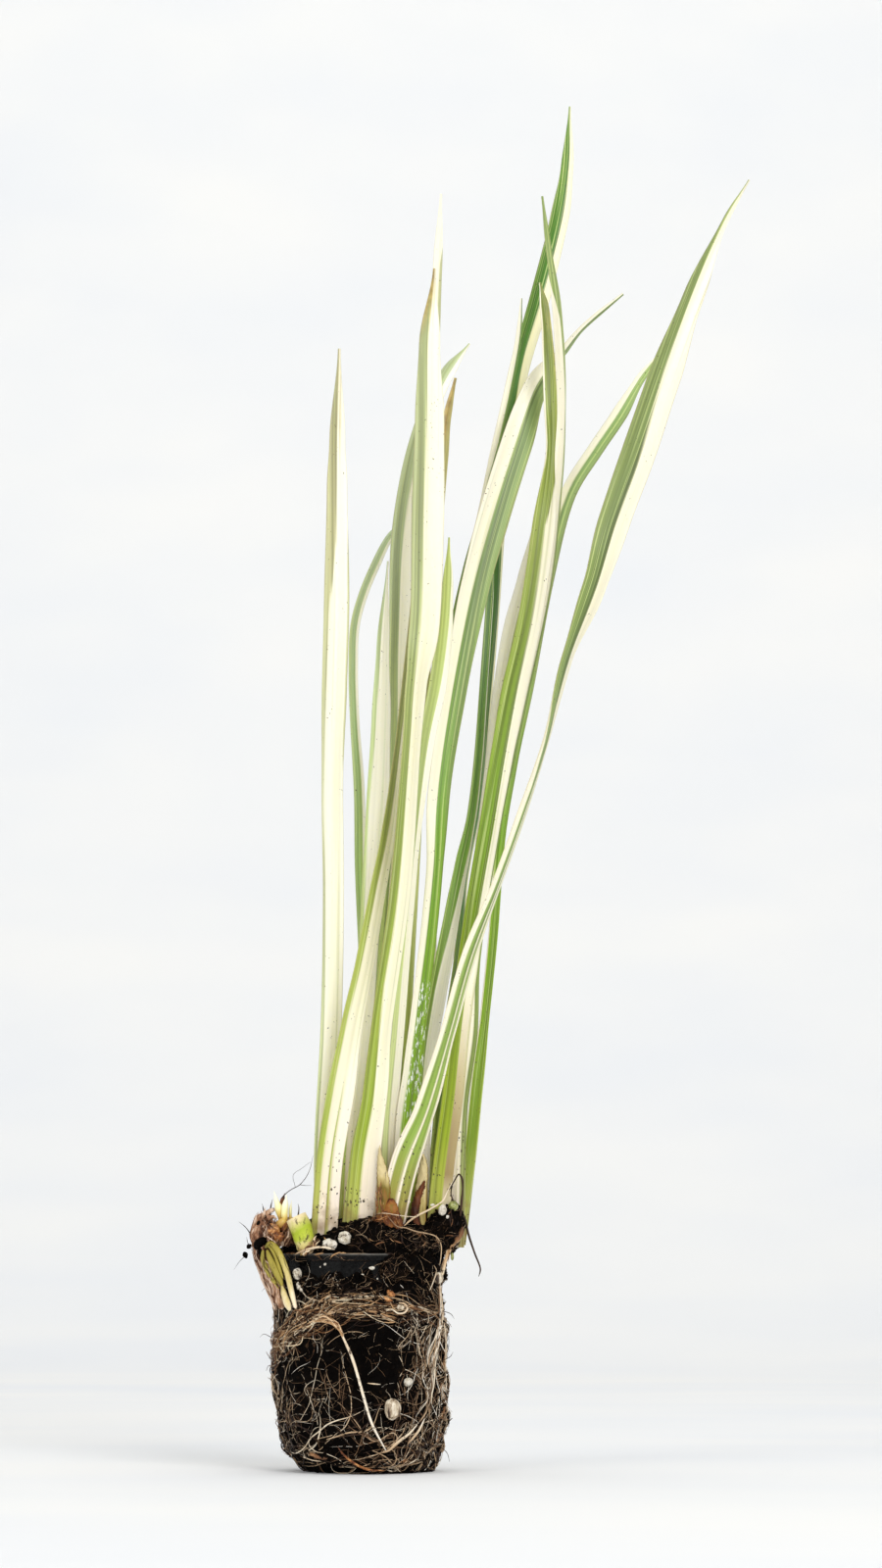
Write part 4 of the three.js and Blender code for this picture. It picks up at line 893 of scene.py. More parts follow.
for stoneName, (skinName, rows) in stones.items():
    ball = bmesh.new()
    for row in rows:
        addBall(ball, row[:3], row[3:], 4 if len(rows) < 3 else 3)
    stone = pieceFromShape(stoneName + "_stone", ball)
    applyTree(stone, crumbTree, {
        "Height": stoneDents[skinName] * mm, "Scale": dentScale, "Density": 0, "Crumb Size": 0, "Seed": 1,
        "Peat Material": skinOf[skinName]})
    dressPiece(stone, slotOf.get(stoneName, slotOf["grain_1"]), *[stoneName] * (stoneName in slotOf))
print("compost done:", len(soilCrust.data.polygons), len(matCrust.data.polygons))

# Larger pieces of the root ball in mm, each a list of paths with x, y, z and radius at every point. "tone" is
# the skin's tone from foot to tip, "lump" how lumpy it is and how many lumps a metre holds, and "grooves" how
# many run along it and how deep. A piece that stands for no solid of its own has no "solid".
rods = {
    "rhizome_bark": {
        "solid": "rhizome_left", "skin": "rhizomeBark", "sides": 36, "lump": (1.1, 420),
        "grooves": (9, 0.06), "tone": (0.1, 0.5),
        "paths": [
            [(-31.5, -6, 71, 2.4), (-29.5, -6.5, 71, 4.2), (-26.5, -7.5, 70.5, 4.8), (-24, -8, 71, 3.8),
             (-21, -8.5, 71.5, 4.6), (-17.5, -8.5, 71, 4.2), (-14, -8, 70, 3.4)],
            [(-30.4, -9.4, 66.6, 1.8), (-29.6, -9.8, 70.6, 3.2), (-28.2, -9.8, 74.6, 3.3),
             (-26.6, -9.6, 77, 1.8)],
            [(-30.8, -9.4, 68, 1.2), (-29.9, -11.4, 63.6, 1.2), (-27.2, -14.4, 57, 1.2),
             (-24.4, -17.2, 50.6, 0.8)],
            [(-28.8, -12, 68, 1.2), (-27.6, -13.2, 64.6, 1.9), (-25.4, -15, 59, 2.3),
             (-23.6, -16.8, 53.6, 1.9), (-22.4, -18.4, 48.4, 0.9)]],
    },
    "torn_bark": {
        "slot": "rhizome_bark", "skin": "rhizomeBark", "sides": 12, "lump": (2.4, 800), "tone": (0.3, 1.2),
        "pointed": True,
        "paths": [
            [(-27.8, -12, 76.8, 0.9), (-26, -12.4, 78, 0.7), (-24, -12.6, 78.6, 0.06)],
            [(-29.4, -12, 75, 0.8), (-28.4, -12.8, 76.8, 0.5), (-27.8, -12.8, 79, 0.05)],
            [(-27, -12.8, 75.6, 0.9), (-25.6, -13.4, 76, 0.6), (-24.2, -13.2, 75.4, 0.06)],
            [(-31.4, -11, 72.6, 0.6), (-31, -12.2, 74.8, 0.4), (-30.4, -12.4, 76.8, 0.05)],
            [(-27.8, -13, 69, 0.5), (-27.8, -13.6, 71, 0.5), (-27.4, -13.4, 73.6, 0.06)],
            [(-31.8, -10.8, 69, 0.6), (-31.6, -11.8, 71.4, 0.4), (-31, -12.2, 73.4, 0.05)]],
    },
    # Black peat lumps set in the rhizome's cavities: the soil in them and the painted shade inside them
    "hollow_soil_and_shade": {
        "slot": "rhizome_bark", "skin": "blackPeat", "sides": 16, "lump": (1.4, 800), "tone": (0, 0),
        "paths": [
            [(-30.4, -12, 73.2, 0.4), (-29.8, -12.4, 74.2, 0.7), (-29.2, -12.2, 75.2, 0.3)],
            [(-31, -11.7, 66.4, 0.6), (-29.9, -12.7, 67.8, 1.5), (-28.4, -13.6, 68.6, 1.4),
             (-27.2, -14, 68, 0.5)],
            [(-29.4, -13.4, 66.8, 0.6), (-29, -14, 65, 0.8), (-28.2, -14.6, 63, 0.4)],
            [(-26.9, -13.4, 71.4, 0.4), (-26.6, -13.9, 73, 0.6), (-26.4, -13.7, 74.6, 0.3)],
            [(-28.4, -14.2, 65.4, 0.3), (-28.2, -15, 62.6, 0.35), (-26.8, -16, 59, 0.3)]],
    },
    "knob_skin": {
        "solid": "root_knob", "skin": "orangeRoot", "sides": 22, "lump": (1.4, 520), "grooves": (5, 0.1),
        "paths": [
            [(-24.2, -14.8, 68.2, 0.5), (-24.6, -15, 70, 1.5), (-25.4, -15, 72, 2),
             (-26.4, -14.8, 74.2, 1)],
            [(-23.4, -15.6, 68.6, 0.6), (-23.1, -16, 69.9, 1.1), (-22.6, -16, 71.4, 0.5)],
            [(-22.6, -14, 71.6, 0.8), (-22.2, -14, 73.4, 1.2), (-21.4, -14, 74.6, 0.8)]],
    },
    "bud_collar": {
        "slot": "bud_skin", "skin": "budScale", "sides": 20, "lump": (2, 620), "tone": (-0.1, 0.1),
        "paths": [[(-24.8, -14, 72.6, 0.8), (-23.2, -14.2, 74, 1.3), (-21.8, -14.2, 75.4, 0.9)]],
    },
    "husk_skin": {
        "solid": "husk", "skin": "orangeRoot", "sides": 16, "lump": (0.3, 400), "grooves": (8, 0.08),
        "pointed": True,
        "paths": [[(-22.9, -11, 75.6, 0.6), (-23, -11, 79, 1), (-22.8, -11, 81, 0.7),
            (-22.1, -11, 83.2, 0.06)]],
    },
    "stub_flesh": {
        "solid": "cut_stub", "skin": "stubFlesh", "sides": 36, "lump": (0.3, 260), "grooves": (7, 0.03),
        "pointed": True,
        "paths": [[(-15.5, -18, 64.4, 1.6), (-15.7, -17.6, 67, 2.6), (-16.2, -17.4, 70, 3.1),
            (-17.1, -17.2, 73, 3.3), (-18.5, -17, 75.9, 3.2)]],
    },
    "shoot_scales": {
        "solid": "bent_shoot", "skin": "shootFlesh", "sides": 20, "lump": (0.4, 520), "grooves": (6, 0.12),
        "paths": [[(-27.8, -15.4, 66.6, 0.5), (-26.2, -16.2, 68, 0.8), (-24.4, -17.4, 66.6, 0.9),
            (-22.4, -19, 63, 0.9), (-20.8, -20.4, 58.6, 0.85), (-19.5, -21.4, 53.4, 0.8),
            (-18.2, -22.4, 48.6, 0.5)]],
    },
    "shoot_heart": {
        "slot": "shoot_flesh", "skin": "shootFlesh", "sides": 18, "lump": (0.5, 620), "grooves": (7, 0.16),
        "tone": (0.2, 0.45),
        "paths": [
            [(-27.2, -15.8, 66.2, 0.4), (-26.4, -16.8, 64, 0.85), (-24.8, -17.8, 60.6, 1.2),
             (-23.2, -18.8, 57.2, 0.9), (-22.2, -19.4, 54.4, 0.3)],
            [(-28.4, -15.2, 66.2, 0.4), (-28.5, -15.4, 63.6, 0.65), (-27.2, -16.4, 60.4, 0.75),
             (-25, -17.6, 56.8, 0.65), (-23.4, -18.4, 54.4, 0.25)],
            [(-26.8, -16.4, 67.4, 0.3), (-25.2, -17.4, 65.4, 0.5), (-23.6, -18.6, 61.6, 0.5),
             (-22.2, -19.6, 57.6, 0.3)]],
    },
    "shoot_cut_end": {
        "slot": "shoot_flesh", "skin": "shootFlesh", "sides": 18, "lump": (0.4, 500), "grooves": (4, 0.12),
        "tone": (0.6, 0.95),
        "paths": [[(-22.6, -19.2, 55.6, 0.4), (-21.8, -20.2, 53, 0.95), (-20.8, -20.8, 50.2, 1.1),
            (-20, -21.2, 48, 0.5)]],
    },
    "edge_root_skin": {
        "solid": "edge_root", "skin": "agedRoot", "sides": 18, "lump": (2, 620), "grooves": (5, 0.16),
        "tone": (0.3, 0.95),
        "paths": [[(31.6, -9, 73.2, 0.4), (30.8, -9.2, 71, 0.95), (29.2, -9.4, 68.8, 0.85),
            (27.6, -9.5, 67, 0.6), (26.9, -9.6, 65, 0.5), (26.2, -9.8, 62.4, 0.45),
            (25.5, -10.2, 59.6, 0.5), (24.7, -10.8, 57.8, 0.5)]],
    },
    "hanging_root_skin": {
        "solid": "hanging_root", "skin": "darkRoot", "sides": 10, "lump": (0.6, 500), "pointed": True,
        "paths": [[(31, -4, 78.6, 0.2), (32.2, -5, 75.4, 0.4), (33.4, -5, 70.6, 0.36),
            (35.2, -5.4, 65.2, 0.3), (36.9, -6, 60.4, 0.26), (36.4, -6.2, 58.2, 0.1)]],
    },
    "muddy_strand": {
        "slot": "compost", "skin": "darkRoot", "sides": 10, "lump": (2.6, 1100),
        "paths": [
            [(27.4, -13.4, 84, 0.14), (28.8, -12.6, 86.4, 0.18), (30.4, -12, 88.8, 0.24),
             (31.3, -11.8, 87.6, 0.34), (31.5, -11.4, 84.4, 0.26), (31.2, -11, 80.4, 0.38),
             (30.8, -10.6, 76, 0.3)],
            [(28.4, -12.6, 85.6, 0.2), (28, -12.8, 83, 0.16), (28.8, -12.6, 80.6, 0.2)]],
    },
    "mud_clumps": {
        "slot": "compost", "skin": "blackPeat", "sides": 14, "lump": (2.2, 900), "tone": (0, 0),
        "paths": [
            [(-32.2, -10, 67.8, 0.4), (-32.9, -10, 67.2, 0.75), (-33.5, -10, 66.6, 0.4)],
            [(-34.4, -10, 65.6, 0.5), (-34, -10, 64.7, 0.85), (-33.6, -10, 63.6, 0.35)],
            [(-28.8, -12.6, 60.2, 0.3), (-28.4, -12.8, 59.6, 0.55), (-27.8, -13, 59, 0.3)],
            [(-27.4, -13.6, 58.4, 0.25), (-27, -13.8, 57.8, 0.5), (-26.6, -14, 57.2, 0.25)]],
    },
    "root_curl_skin": {
        "solid": "root_curl", "skin": "fineRoot", "sides": 12, "lump": (0.8, 700), "tone": (0.4, 0.66),
        "paths": [[(8.4, -19.6, 77, 0.06), (10, -20.7, 75, 0.12), (12, -21.6, 73, 0.16),
            (14.5, -21.8, 72.6, 0.16), (17.4, -21.2, 71.6, 0.16), (20.6, -20, 71, 0.16),
            (23.6, -17.6, 70, 0.16), (25, -15.6, 67.6, 0.15), (25, -15, 64.4, 0.12),
            (24.6, -14.4, 61.6, 0.06)]],
    },
    "pale_strands": {
        "slot": "root_felt", "skin": "fineRoot", "sides": 10, "lump": (0.5, 500), "tone": (0.6, 0.85),
        "paths": [
            [(13.9, -17.8, 73.2, 0.12), (15.4, -17.2, 74.6, 0.26), (17.5, -16.4, 76.1, 0.28),
             (21.9, -15, 78.4, 0.26), (25.5, -14, 80.8, 0.2), (26.9, -13.6, 83.5, 0.12),
             (28.4, -13, 86.4, 0.06)],
            [(5.6, -18.4, 76.9, 0.05), (8, -19.2, 77, 0.12), (12.2, -19, 76.4, 0.12), (15.4, -18, 76, 0.12),
             (17.4, -16.6, 76, 0.06)],
            [(-18.8, -17.4, 64.8, 0.2), (-15.1, -20.6, 66.2, 0.34), (-10.7, -23.2, 66.9, 0.34),
             (-6.6, -24.6, 66.2, 0.2)],
            [(24.4, -11.6, 55.6, 0.2), (25.2, -10.8, 51, 0.22), (25.6, -10.4, 46.6, 0.2),
             (26.4, -9, 40, 0.2), (26.4, -8.8, 32, 0.16), (26.6, -8, 24, 0.08)],
            [(3.2, -27.5, 26.9, 0.08), (5, -27.6, 26.7, 0.2), (7.2, -27.2, 26.5, 0.08)],
            [(22.6, -12.4, 62, 0.1), (23.6, -13.4, 60, 0.14), (22.8, -14.6, 57, 0.14),
             (21.6, -15, 54, 0.1)],
            [(12.4, -26.2, 50.4, 0.16), (14, -25.8, 50.2, 0.24), (15, -25.3, 48.9, 0.28),
             (14.2, -25.8, 47.6, 0.26), (12.2, -26.5, 47.4, 0.22), (10.6, -26.8, 48.4, 0.16),
             (8.6, -27.2, 48.2, 0.06)]],
    },
    "pale_root_skin": {
        "solid": "pale_root", "skin": "fineRoot", "sides": 14, "lump": (0.35, 500), "tone": (0.76, 0.95),
        "paths": [[(-4.8, -27.4, 42, 0.3), (-1.2, -27.6, 34, 0.42), (1.8, -27.4, 24, 0.4),
            (4.6, -26.6, 15, 0.36), (9, -25, 6.6, 0.16)]],
    },
    "bark_chips": {
        "slot": "orange_root", "skin": "orangeRoot", "sides": 16, "lump": (2.2, 620), "grooves": (5, 0.2),
        "paths": [
            [(9, -25.8, 54.2, 0.4), (10.2, -25.8, 53, 0.9), (11.4, -25.6, 52.6, 0.5)],
            [(8, -26, 52.2, 0.3), (9.2, -26, 51.4, 0.6), (10.6, -25.8, 51, 0.3)],
            [(-5.6, -26, 8.4, 0.1), (-4, -26.2, 6.2, 0.24), (-0.6, -25.8, 3.4, 0.34), (3.4, -25, 1.6, 0.36),
             (8.4, -23.6, 1.2, 0.14)]],
    },
    "foot_roots": {
        "slot": "root_felt", "skin": "fineRoot", "sides": 16, "lump": (1.8, 700), "grooves": (5, 0.14),
        "tone": (0.5, 0.9),
        "paths": [
            [(7.4, -25.4, 6.4, 0.14), (9.6, -25, 7.2, 0.32), (11.6, -24.7, 9, 0.42), (13.4, -24, 10.4, 0.4),
             (15.6, -22.9, 12, 0.3), (18, -21, 14.6, 0.1)],
            [(15, -23, 8.8, 0.12), (16.8, -21.9, 10.8, 0.34), (18.4, -20.7, 12.8, 0.34),
             (20.2, -19, 16.4, 0.1)]],
    },
    "bud_1_scale": {
        "solid": "bud_1", "skin": "budScale", "sides": 20, "tone": (-0.1, 1), "lump": (0.2, 400),
        "grooves": (6, 0.07), "pointed": True,
        "paths": [[(-23.2, -12.8, 75, 0.7), (-23.7, -12.9, 78.2, 1.3), (-24.5, -13, 80.6, 0.75),
            (-25.3, -13, 83.8, 0.06)]],
    },
    "bud_2_scale": {
        "solid": "bud_2", "skin": "budScale", "sides": 20, "tone": (-0.1, 1), "lump": (0.2, 400),
        "grooves": (6, 0.07), "pointed": True,
        "paths": [[(-21.8, -13.8, 74.4, 0.7), (-22.1, -14, 76.6, 1.05), (-21.9, -14.2, 79, 1.05),
            (-21.5, -14.2, 82.8, 0.06)]],
    },
    "bud_3_scale": {
        "solid": "bud_3", "skin": "budScale", "sides": 16, "lump": (0.2, 400), "grooves": (6, 0.07),
        "pointed": True,
        "paths": [[(-20.4, -12, 75.4, 0.5), (-20.4, -12, 78, 0.5), (-20, -12, 81, 0.05)]],
    },
    "loose_hairs": {
        "slot": "root_felt", "skin": "darkRoot", "sides": 5, "pointed": True,
        "paths": [
            [(-23, -11.4, 81.6, 0.16), (-21.8, -11.6, 83, 0.14), (-20.2, -12, 84.2, 0.13),
             (-17.6, -13, 85.6, 0.12), (-15.6, -13.2, 88, 0.1), (-14.4, -13.4, 90.6, 0.08),
             (-13.6, -13.4, 94.4, 0.04)],
            [(-17.4, -13, 85.6, 0.09), (-15.8, -13, 85.4, 0.07), (-14, -13, 85.5, 0.03)],
            [(-18.9, -13, 84.9, 0.06), (-19.5, -13, 88.6, 0.06), (-16.9, -13, 90.6, 0.05),
             (-14.2, -13, 92.6, 0.03)],
            [(-32.2, -10, 70.6, 0.2), (-34, -10, 73, 0.12), (-36, -10, 74.6, 0.04)],
            [(-33, -10, 67.6, 0.12), (-33.4, -10, 68.8, 0.08), (-33.6, -10, 70, 0.03)],
            [(-34.4, -10, 64, 0.1), (-35.8, -10, 62.6, 0.07), (-37.4, -10, 60.2, 0.03)],
            [(-26.4, -14, 56, 0.1), (-27.6, -14, 55, 0.08), (-28.8, -14, 53.8, 0.03)],
            [(-26.6, -11.8, 76.6, 0.4), (-26.3, -11.8, 79, 0.22), (-25.8, -11.8, 81.4, 0.04)],
            [(-28, -11.8, 75.8, 0.4), (-28.4, -11.8, 77.8, 0.24), (-28.9, -11.8, 80, 0.04)],
            [(-17.9, -15.6, 76.4, 0.25), (-17.7, -15.6, 78.6, 0.14), (-18, -15.6, 80, 0.03)],
            [(25.4, -11, 48, 0.12), (28, -11, 47, 0.1), (29, -11, 45.6, 0.04)],
            [(25, -12, 33, 0.12), (27.8, -12, 34.4, 0.1), (28.6, -12, 35.8, 0.04)],
            [(-26, -8, 40, 0.12), (-28.4, -8, 41, 0.08), (-29.6, -8, 40, 0.03)],
            [(24, -6, 8, 0.14), (26.8, -6, 5.6, 0.1), (27.6, -6, 3, 0.05)]],
    },
}
# Torn fibres that clothe a stem: how many, how thick, how far their ends stand off, their tone, the share of
# the axis that each covers, and the axes that they follow
fibreLook = {"twist": 0.8, "stand": (0.85, 1.08), "sway": 0.3, "swayBeat": 0.7, "sides": 7,
             "lump": (0.5, 900)}
fibreSheaves = {
    "rhizome_fibres": {
        "slot": "rhizome_bark", "skin": "rhizomeBark", "count": 34, "radius": (0.07, 0.26), "flare": 0.3,
        "tone": (0, 1), "reach": (0.25, 0.8),
        "axes": [[(-30.6, -9.4, 65.6, 1.8), (-29.4, -9.6, 70, 3.1), (-28, -9.6, 74, 3.3),
            (-26.8, -9.4, 78, 2)]],
    },
    "dead_scale_fibres": {
        "slot": "rhizome_bark", "skin": "rhizomeBark", "count": 90, "radius": (0.06, 0.26), "flare": 0.2,
        "tone": (0, 1.3), "reach": (0.2, 0.7),
        "axes": [
            [(-31, -9.4, 69, 1.5), (-30, -11.4, 63.6, 1.4), (-27.2, -14.4, 57, 1.4), (-24.6, -17, 51, 1),
             (-23.6, -18, 47.4, 0.5)],
            [(-28.4, -12.2, 66.4, 1.7), (-26.4, -14.4, 61.4, 2.2), (-24.4, -16.2, 55.6, 2.1),
             (-22.8, -18, 49.4, 1.2)]],
    },
    "stub_scale_bases": {
        "slot": "shoot_flesh", "skin": "agedRoot", "count": 44, "radius": (0.12, 0.42), "flare": 0.4,
        "tone": (0.1, 1), "reach": (0.4, 0.9),
        "axes": [[(-16.4, -19.4, 64.6, 0.5), (-14.8, -19.4, 66, 1.2), (-13.2, -18.6, 68, 1.2),
            (-12.4, -18, 70.6, 0.5)]],
    },
    "shoot_fibres": {
        "slot": "shoot_flesh", "skin": "darkRoot", "count": 44, "radius": (0.03, 0.09), "flare": 0.1,
        "tone": (0, 1), "reach": (0.12, 0.4),
        "axes": [
            [(-27.8, -15.4, 66.6, 0.5), (-26.2, -16.2, 68, 0.8), (-24.4, -17.4, 66.6, 0.95),
             (-22.4, -19, 63, 0.95), (-20.8, -20.4, 58.6, 0.9), (-19.5, -21.4, 53.4, 0.85),
             (-18.2, -22.4, 48.6, 0.55)],
            [(-27.2, -15.8, 66.2, 0.4), (-26.4, -16.8, 64, 0.9), (-24.8, -17.8, 60.6, 1.25),
             (-23.2, -18.8, 57.2, 0.95), (-21.8, -20.2, 53, 1), (-20, -21.2, 48, 0.55)],
            [(-28.4, -15.2, 66.2, 0.4), (-28.5, -15.4, 63.6, 0.7), (-27.2, -16.4, 60.4, 0.8),
             (-25, -17.6, 56.8, 0.7), (-23.4, -18.4, 54.4, 0.3)]],
    },
    "knob_fibres": {
        "slot": "rhizome_bark", "skin": "rhizomeBark", "count": 40, "radius": (0.06, 0.22), "flare": 0.4,
        "tone": (0, 0.8), "reach": (0.25, 0.7),
        "axes": [
            [(-25.4, -14.8, 66.4, 1.2), (-25.2, -15, 69, 2), (-26, -14.6, 73, 1.9), (-26.4, -14, 76, 1)],
            [(-22.4, -15, 67, 0.8), (-22, -15.4, 70, 1.4), (-21.6, -14.4, 74, 1.3)]],
    },
    "elbow_fibres": {
        "slot": "root_felt", "skin": "agedRoot", "count": 34, "radius": (0.06, 0.2), "flare": 0,
        "tone": (0.3, 0.85), "reach": (0.4, 1),
        "axes": [[(-13, -25.4, 45.4, 0.7), (-9.4, -26.4, 45.6, 0.9), (-6.2, -27.2, 44.2, 0.7),
            (-4.4, -27.5, 41.6, 0.35), (-3.6, -27.5, 39, 0.15)]],
    },
    "sheath_fibres": {
        "slot": "dry_sheath", "skin": "orangeRoot", "count": 56, "radius": (0.03, 0.13), "flare": 0.5,
        "tone": (0, 1), "reach": (0.25, 0.7),
        "axes": [
            [(3.4, -18, 73.6, 0.3), (6, -18.6, 75.6, 1), (10, -18.8, 75.8, 1.2), (13, -18.4, 73.4, 0.5)],
            [(6.2, -17.8, 71, 0.9), (6.6, -18, 76, 1.2), (6.4, -17.6, 82, 0.8), (6.6, -17.4, 88, 0.3)],
            [(12.6, -18.2, 71.6, 0.6), (11.6, -18.6, 75, 1), (10.6, -18.6, 79, 0.6)]],
    },
    "edge_root_fibres": {
        "slot": "orange_root", "skin": "agedRoot", "count": 20, "radius": (0.05, 0.16), "flare": 0.4,
        "tone": (0.05, 0.9), "reach": (0.2, 0.6),
        "axes": [[(32, -9, 74, 0.6), (30.8, -9.2, 71, 1.1), (29.2, -9.4, 68.8, 0.9), (27.6, -9.5, 67, 0.6),
            (26.4, -9.8, 63, 0.5), (24.8, -10.8, 58, 0.6)]],
    },
    "edge_bundle": {
        "slot": "root_felt", "skin": "fineRoot", "count": 46, "radius": (0.06, 0.22), "flare": 0,
        "tone": (0.1, 1), "reach": (0.12, 0.45),
        "axes": [[(25.4, -10, 59, 0.3), (24.8, -11.2, 54, 0.4), (25, -10.8, 47, 0.5), (24.2, -12, 41, 0.8),
            (22.2, -14.8, 34, 1.4), (21.2, -15.8, 26, 1.6), (20.6, -15.8, 18, 1.4),
            (19.8, -15.6, 12, 0.7)]],
    },
}


def fibrePaths(facts, chance):
    paths = []
    for k in range(facts["count"]):
        rows = pathRows(facts["axes"][k % len(facts["axes"])], False)
        angle = chance.uniform(0, 2 * math.pi)
        twist = chance.uniform(-fibreLook["twist"], fibreLook["twist"])
        share = chance.uniform(*facts["reach"])
        first = int(chance.uniform(0, 1 - share) * (len(rows) - 1))
        last = min(len(rows) - 1, max(first + 4, int(first + share * (len(rows) - 1))))
        out = chance.uniform(*fibreLook["stand"])
        radius = chance.uniform(*facts["radius"])
        tone = chance.uniform(*facts["tone"])
        path = []
        for i in range(first, last + 1):
            place, size, along = rows[i]
            forward = headingAt(rows, i)
            side = forward.cross(Vector((0, 1, 0))).normalized()
            up = side.cross(forward)
            part = (i - first) / (last - first)
            way = angle + twist * part + fibreLook["sway"] * math.sin(fibreLook["swayBeat"] * i + k)
            stand = size * out + facts["flare"] * part ** 4 * (1 + size)
            thin = min(1.0, 0.3 + 3 * part, 4 * (1 - part) + 0.05)
            path.append((place + (side * math.cos(way) + up * math.sin(way)) * stand, radius * thin, tone))
        paths.append(path)
    return paths


for rodName, facts in rods.items():
    low, high = facts.get("tone", (0, 1))
    blunt = not facts.get("pointed")
    rodPaths = [[(p, r, low + (high - low) * t) for p, r, t in pathRows(path, blunt)]
                for path in facts["paths"]]
    solid = facts.get("solid")
    rod = makeRods(rodName, facts.get("slot") or slotOf[solid], skinOf[facts["skin"]], rodPaths,
                   facts["sides"], facts.get("lump", (0, 400)), facts.get("grooves", (0, 0)))
    if solid:
        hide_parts(solid)
fibreChance = random.Random(5)
for sheafName, facts in fibreSheaves.items():
    makeRods(sheafName, facts["slot"], skinOf[facts["skin"]], fibrePaths(facts, fibreChance),
             fibreLook["sides"], fibreLook["lump"])
print("shoots and larger roots done:", len(rods))

# Roots that run over the ball. Each kind has how many, where they start in degrees round the pot and in mm
# of height, which way they head, how long they are in steps, how they curl and lift off, how thick they are
# and their tone. The angle is 0 to the right and -90 in front. What a kind doesn't say comes from anyRoot.
anyRoot = {"skin": "fineRoot", "line": "", "slope": 0, "spread": 3.2, "smooth": 2}
rootKinds = {
    "wrap": {"skin": "agedRoot", "count": 215, "angle": (-186, -58), "height": (-7, 4), "line": "arch",
        "spread": 0.26, "steps": (30, 80), "curl": 0.06, "lift": 1.8, "smooth": 6, "radius": (0.06, 0.18),
        "tone": (-0.15, 1)},
    "web": {"count": 230, "angle": (-186, 174), "height": (2, 55), "steps": (10, 26), "curl": 0.05,
        "lift": 0.9, "smooth": 4, "radius": (0.04, 0.1), "tone": (0.15, 0.98)},
    "fringe": {"count": 250, "angle": (-60, 14), "height": (3, 50), "slope": 1.15, "spread": 0.6,
        "steps": (8, 26), "curl": 0.05, "lift": 1.4, "smooth": 4, "radius": (0.04, 0.11), "tone": (0.1, 1)},
    "edge": {"count": 64, "angle": (-52, -4), "height": (10, 52), "line": "down", "slope": -1.57,
        "spread": 0.6, "steps": (16, 44), "curl": 0.06, "lift": 1, "smooth": 4, "radius": (0.06, 0.18),
        "tone": (0.25, 1.05)},
    "foot": {"count": 180, "angle": (-186, 174), "height": (0.6, 13), "slope": 0.1, "spread": 0.5,
        "steps": (18, 50), "curl": 0.05, "lift": 1.3, "smooth": 4, "radius": (0.07, 0.24),
        "tone": (-0.05, 0.85)},
    "collar": {"count": 650, "angle": (-170, 190), "height": (50, 66), "steps": (5, 15), "curl": 0.08,
        "lift": 0.6, "radius": (0.03, 0.065), "tone": (0.05, 0.62)},
    "overhang": {"count": 230, "angle": (-84, 44), "height": (62, 84), "steps": (4, 14), "curl": 0.08,
        "lift": 0.7, "radius": (0.03, 0.065), "tone": (0.05, 0.65)},
    "mound": {"count": 850, "angle": (-180, 180), "height": (66, 76), "steps": (4, 13), "curl": 0.08,
        "lift": 0.7, "radius": (0.03, 0.065), "tone": (0.1, 0.65)},
    "litter": {"skin": "agedRoot", "count": 60, "angle": (-160, 10), "height": (68, 80), "steps": (4, 6),
        "curl": 0.15, "lift": 0.6, "radius": (0.1, 0.26), "tone": (-0.1, 0.7)},
    "back": {"count": 160, "angle": (-10, 190), "height": (14, 52), "slope": 0.5, "spread": 0.9,
        "steps": (18, 46), "curl": 0.1, "lift": 1.1, "smooth": 4, "radius": (0.08, 0.26), "tone": (0.2, 1)},
    "hair": {"count": 1300, "angle": (-186, 174), "height": (2, 60), "steps": (4, 15), "curl": 0.1,
        "lift": 1.2, "radius": (0.03, 0.06), "tone": (0.25, 0.95)},
}
rootKinds = {kind: {**anyRoot, **facts} for kind, facts in rootKinds.items()}
# The arch that the wrapping roots follow, as angle and height, and the bare black window in front
archLine = [(-190, 34), (-165, 38), (-146, 40.5), (-125, 45.5), (-104, 49.5), (-88, 50.5), (-74, 50),
            (-58, 48.5), (-40, 46)]
bareWindow = {"angle": -77, "angleReach": 22, "height": 32, "heightReach": 14, "kept": 0.12,
              "hairKept": 0.6, "closed": 0.75, "slack": 0.25}
# How a root walks, in mm and degrees, and how strongly the arch and the fall steer it, with archLength in m
rootWalk = {
    "step": 0.8, "seam": 174, "startOut": 30, "moundOut": 40, "moundFrom": 60, "moundIn": 0.5,
    "archLook": 8, "archLength": 0.0072, "archPull": 0.25, "archBack": 0.03, "archBackMost": 0.4,
    "downPull": 0.12, "bendKept": 0.75, "kinkChance": 0.04, "kink": 0.7, "beat": (0.12, 0.4),
    "tonePower": 1.3, "toneDrift": 0.04, "sunk": 0.6, "floorNear": 0.5, "leastRows": 4, "tipShare": 0.3,
}
# Thick roots grown into the felt: start and end angle in degrees, start and end height, rise, radius
thickRoots = [
    (-152, -62, 42, 49, 7, 0.5), (-146, -64, 38, 45, 6, 0.45), (-64, 12, 50, 40, 1, 0.45),
    (-30, 40, 12, 36, 3, 0.6), (-36, -6, 8, 44, 0, 0.45), (-52, 4, 6, 18, -2, 0.6),
    (-130, -40, 6, 5, -2, 0.7), (20, 88, 48, 22, 4, 0.7), (100, 182, 46, 34, 4, 0.8),
    (150, 214, 12, 44, 0, 0.7),
]
# They lie this far from x = middle, and nearer below a height, in mm
thickShape = {"middle": 0.6, "out": 26.2, "below": 16, "nearer": 0.14, "clear": 0.2, "points": 7,
              "tone": 0.36, "toneWave": 0.2}
upwards = Vector((0, 0, 1))
downwards = Vector((0, 0, -1))


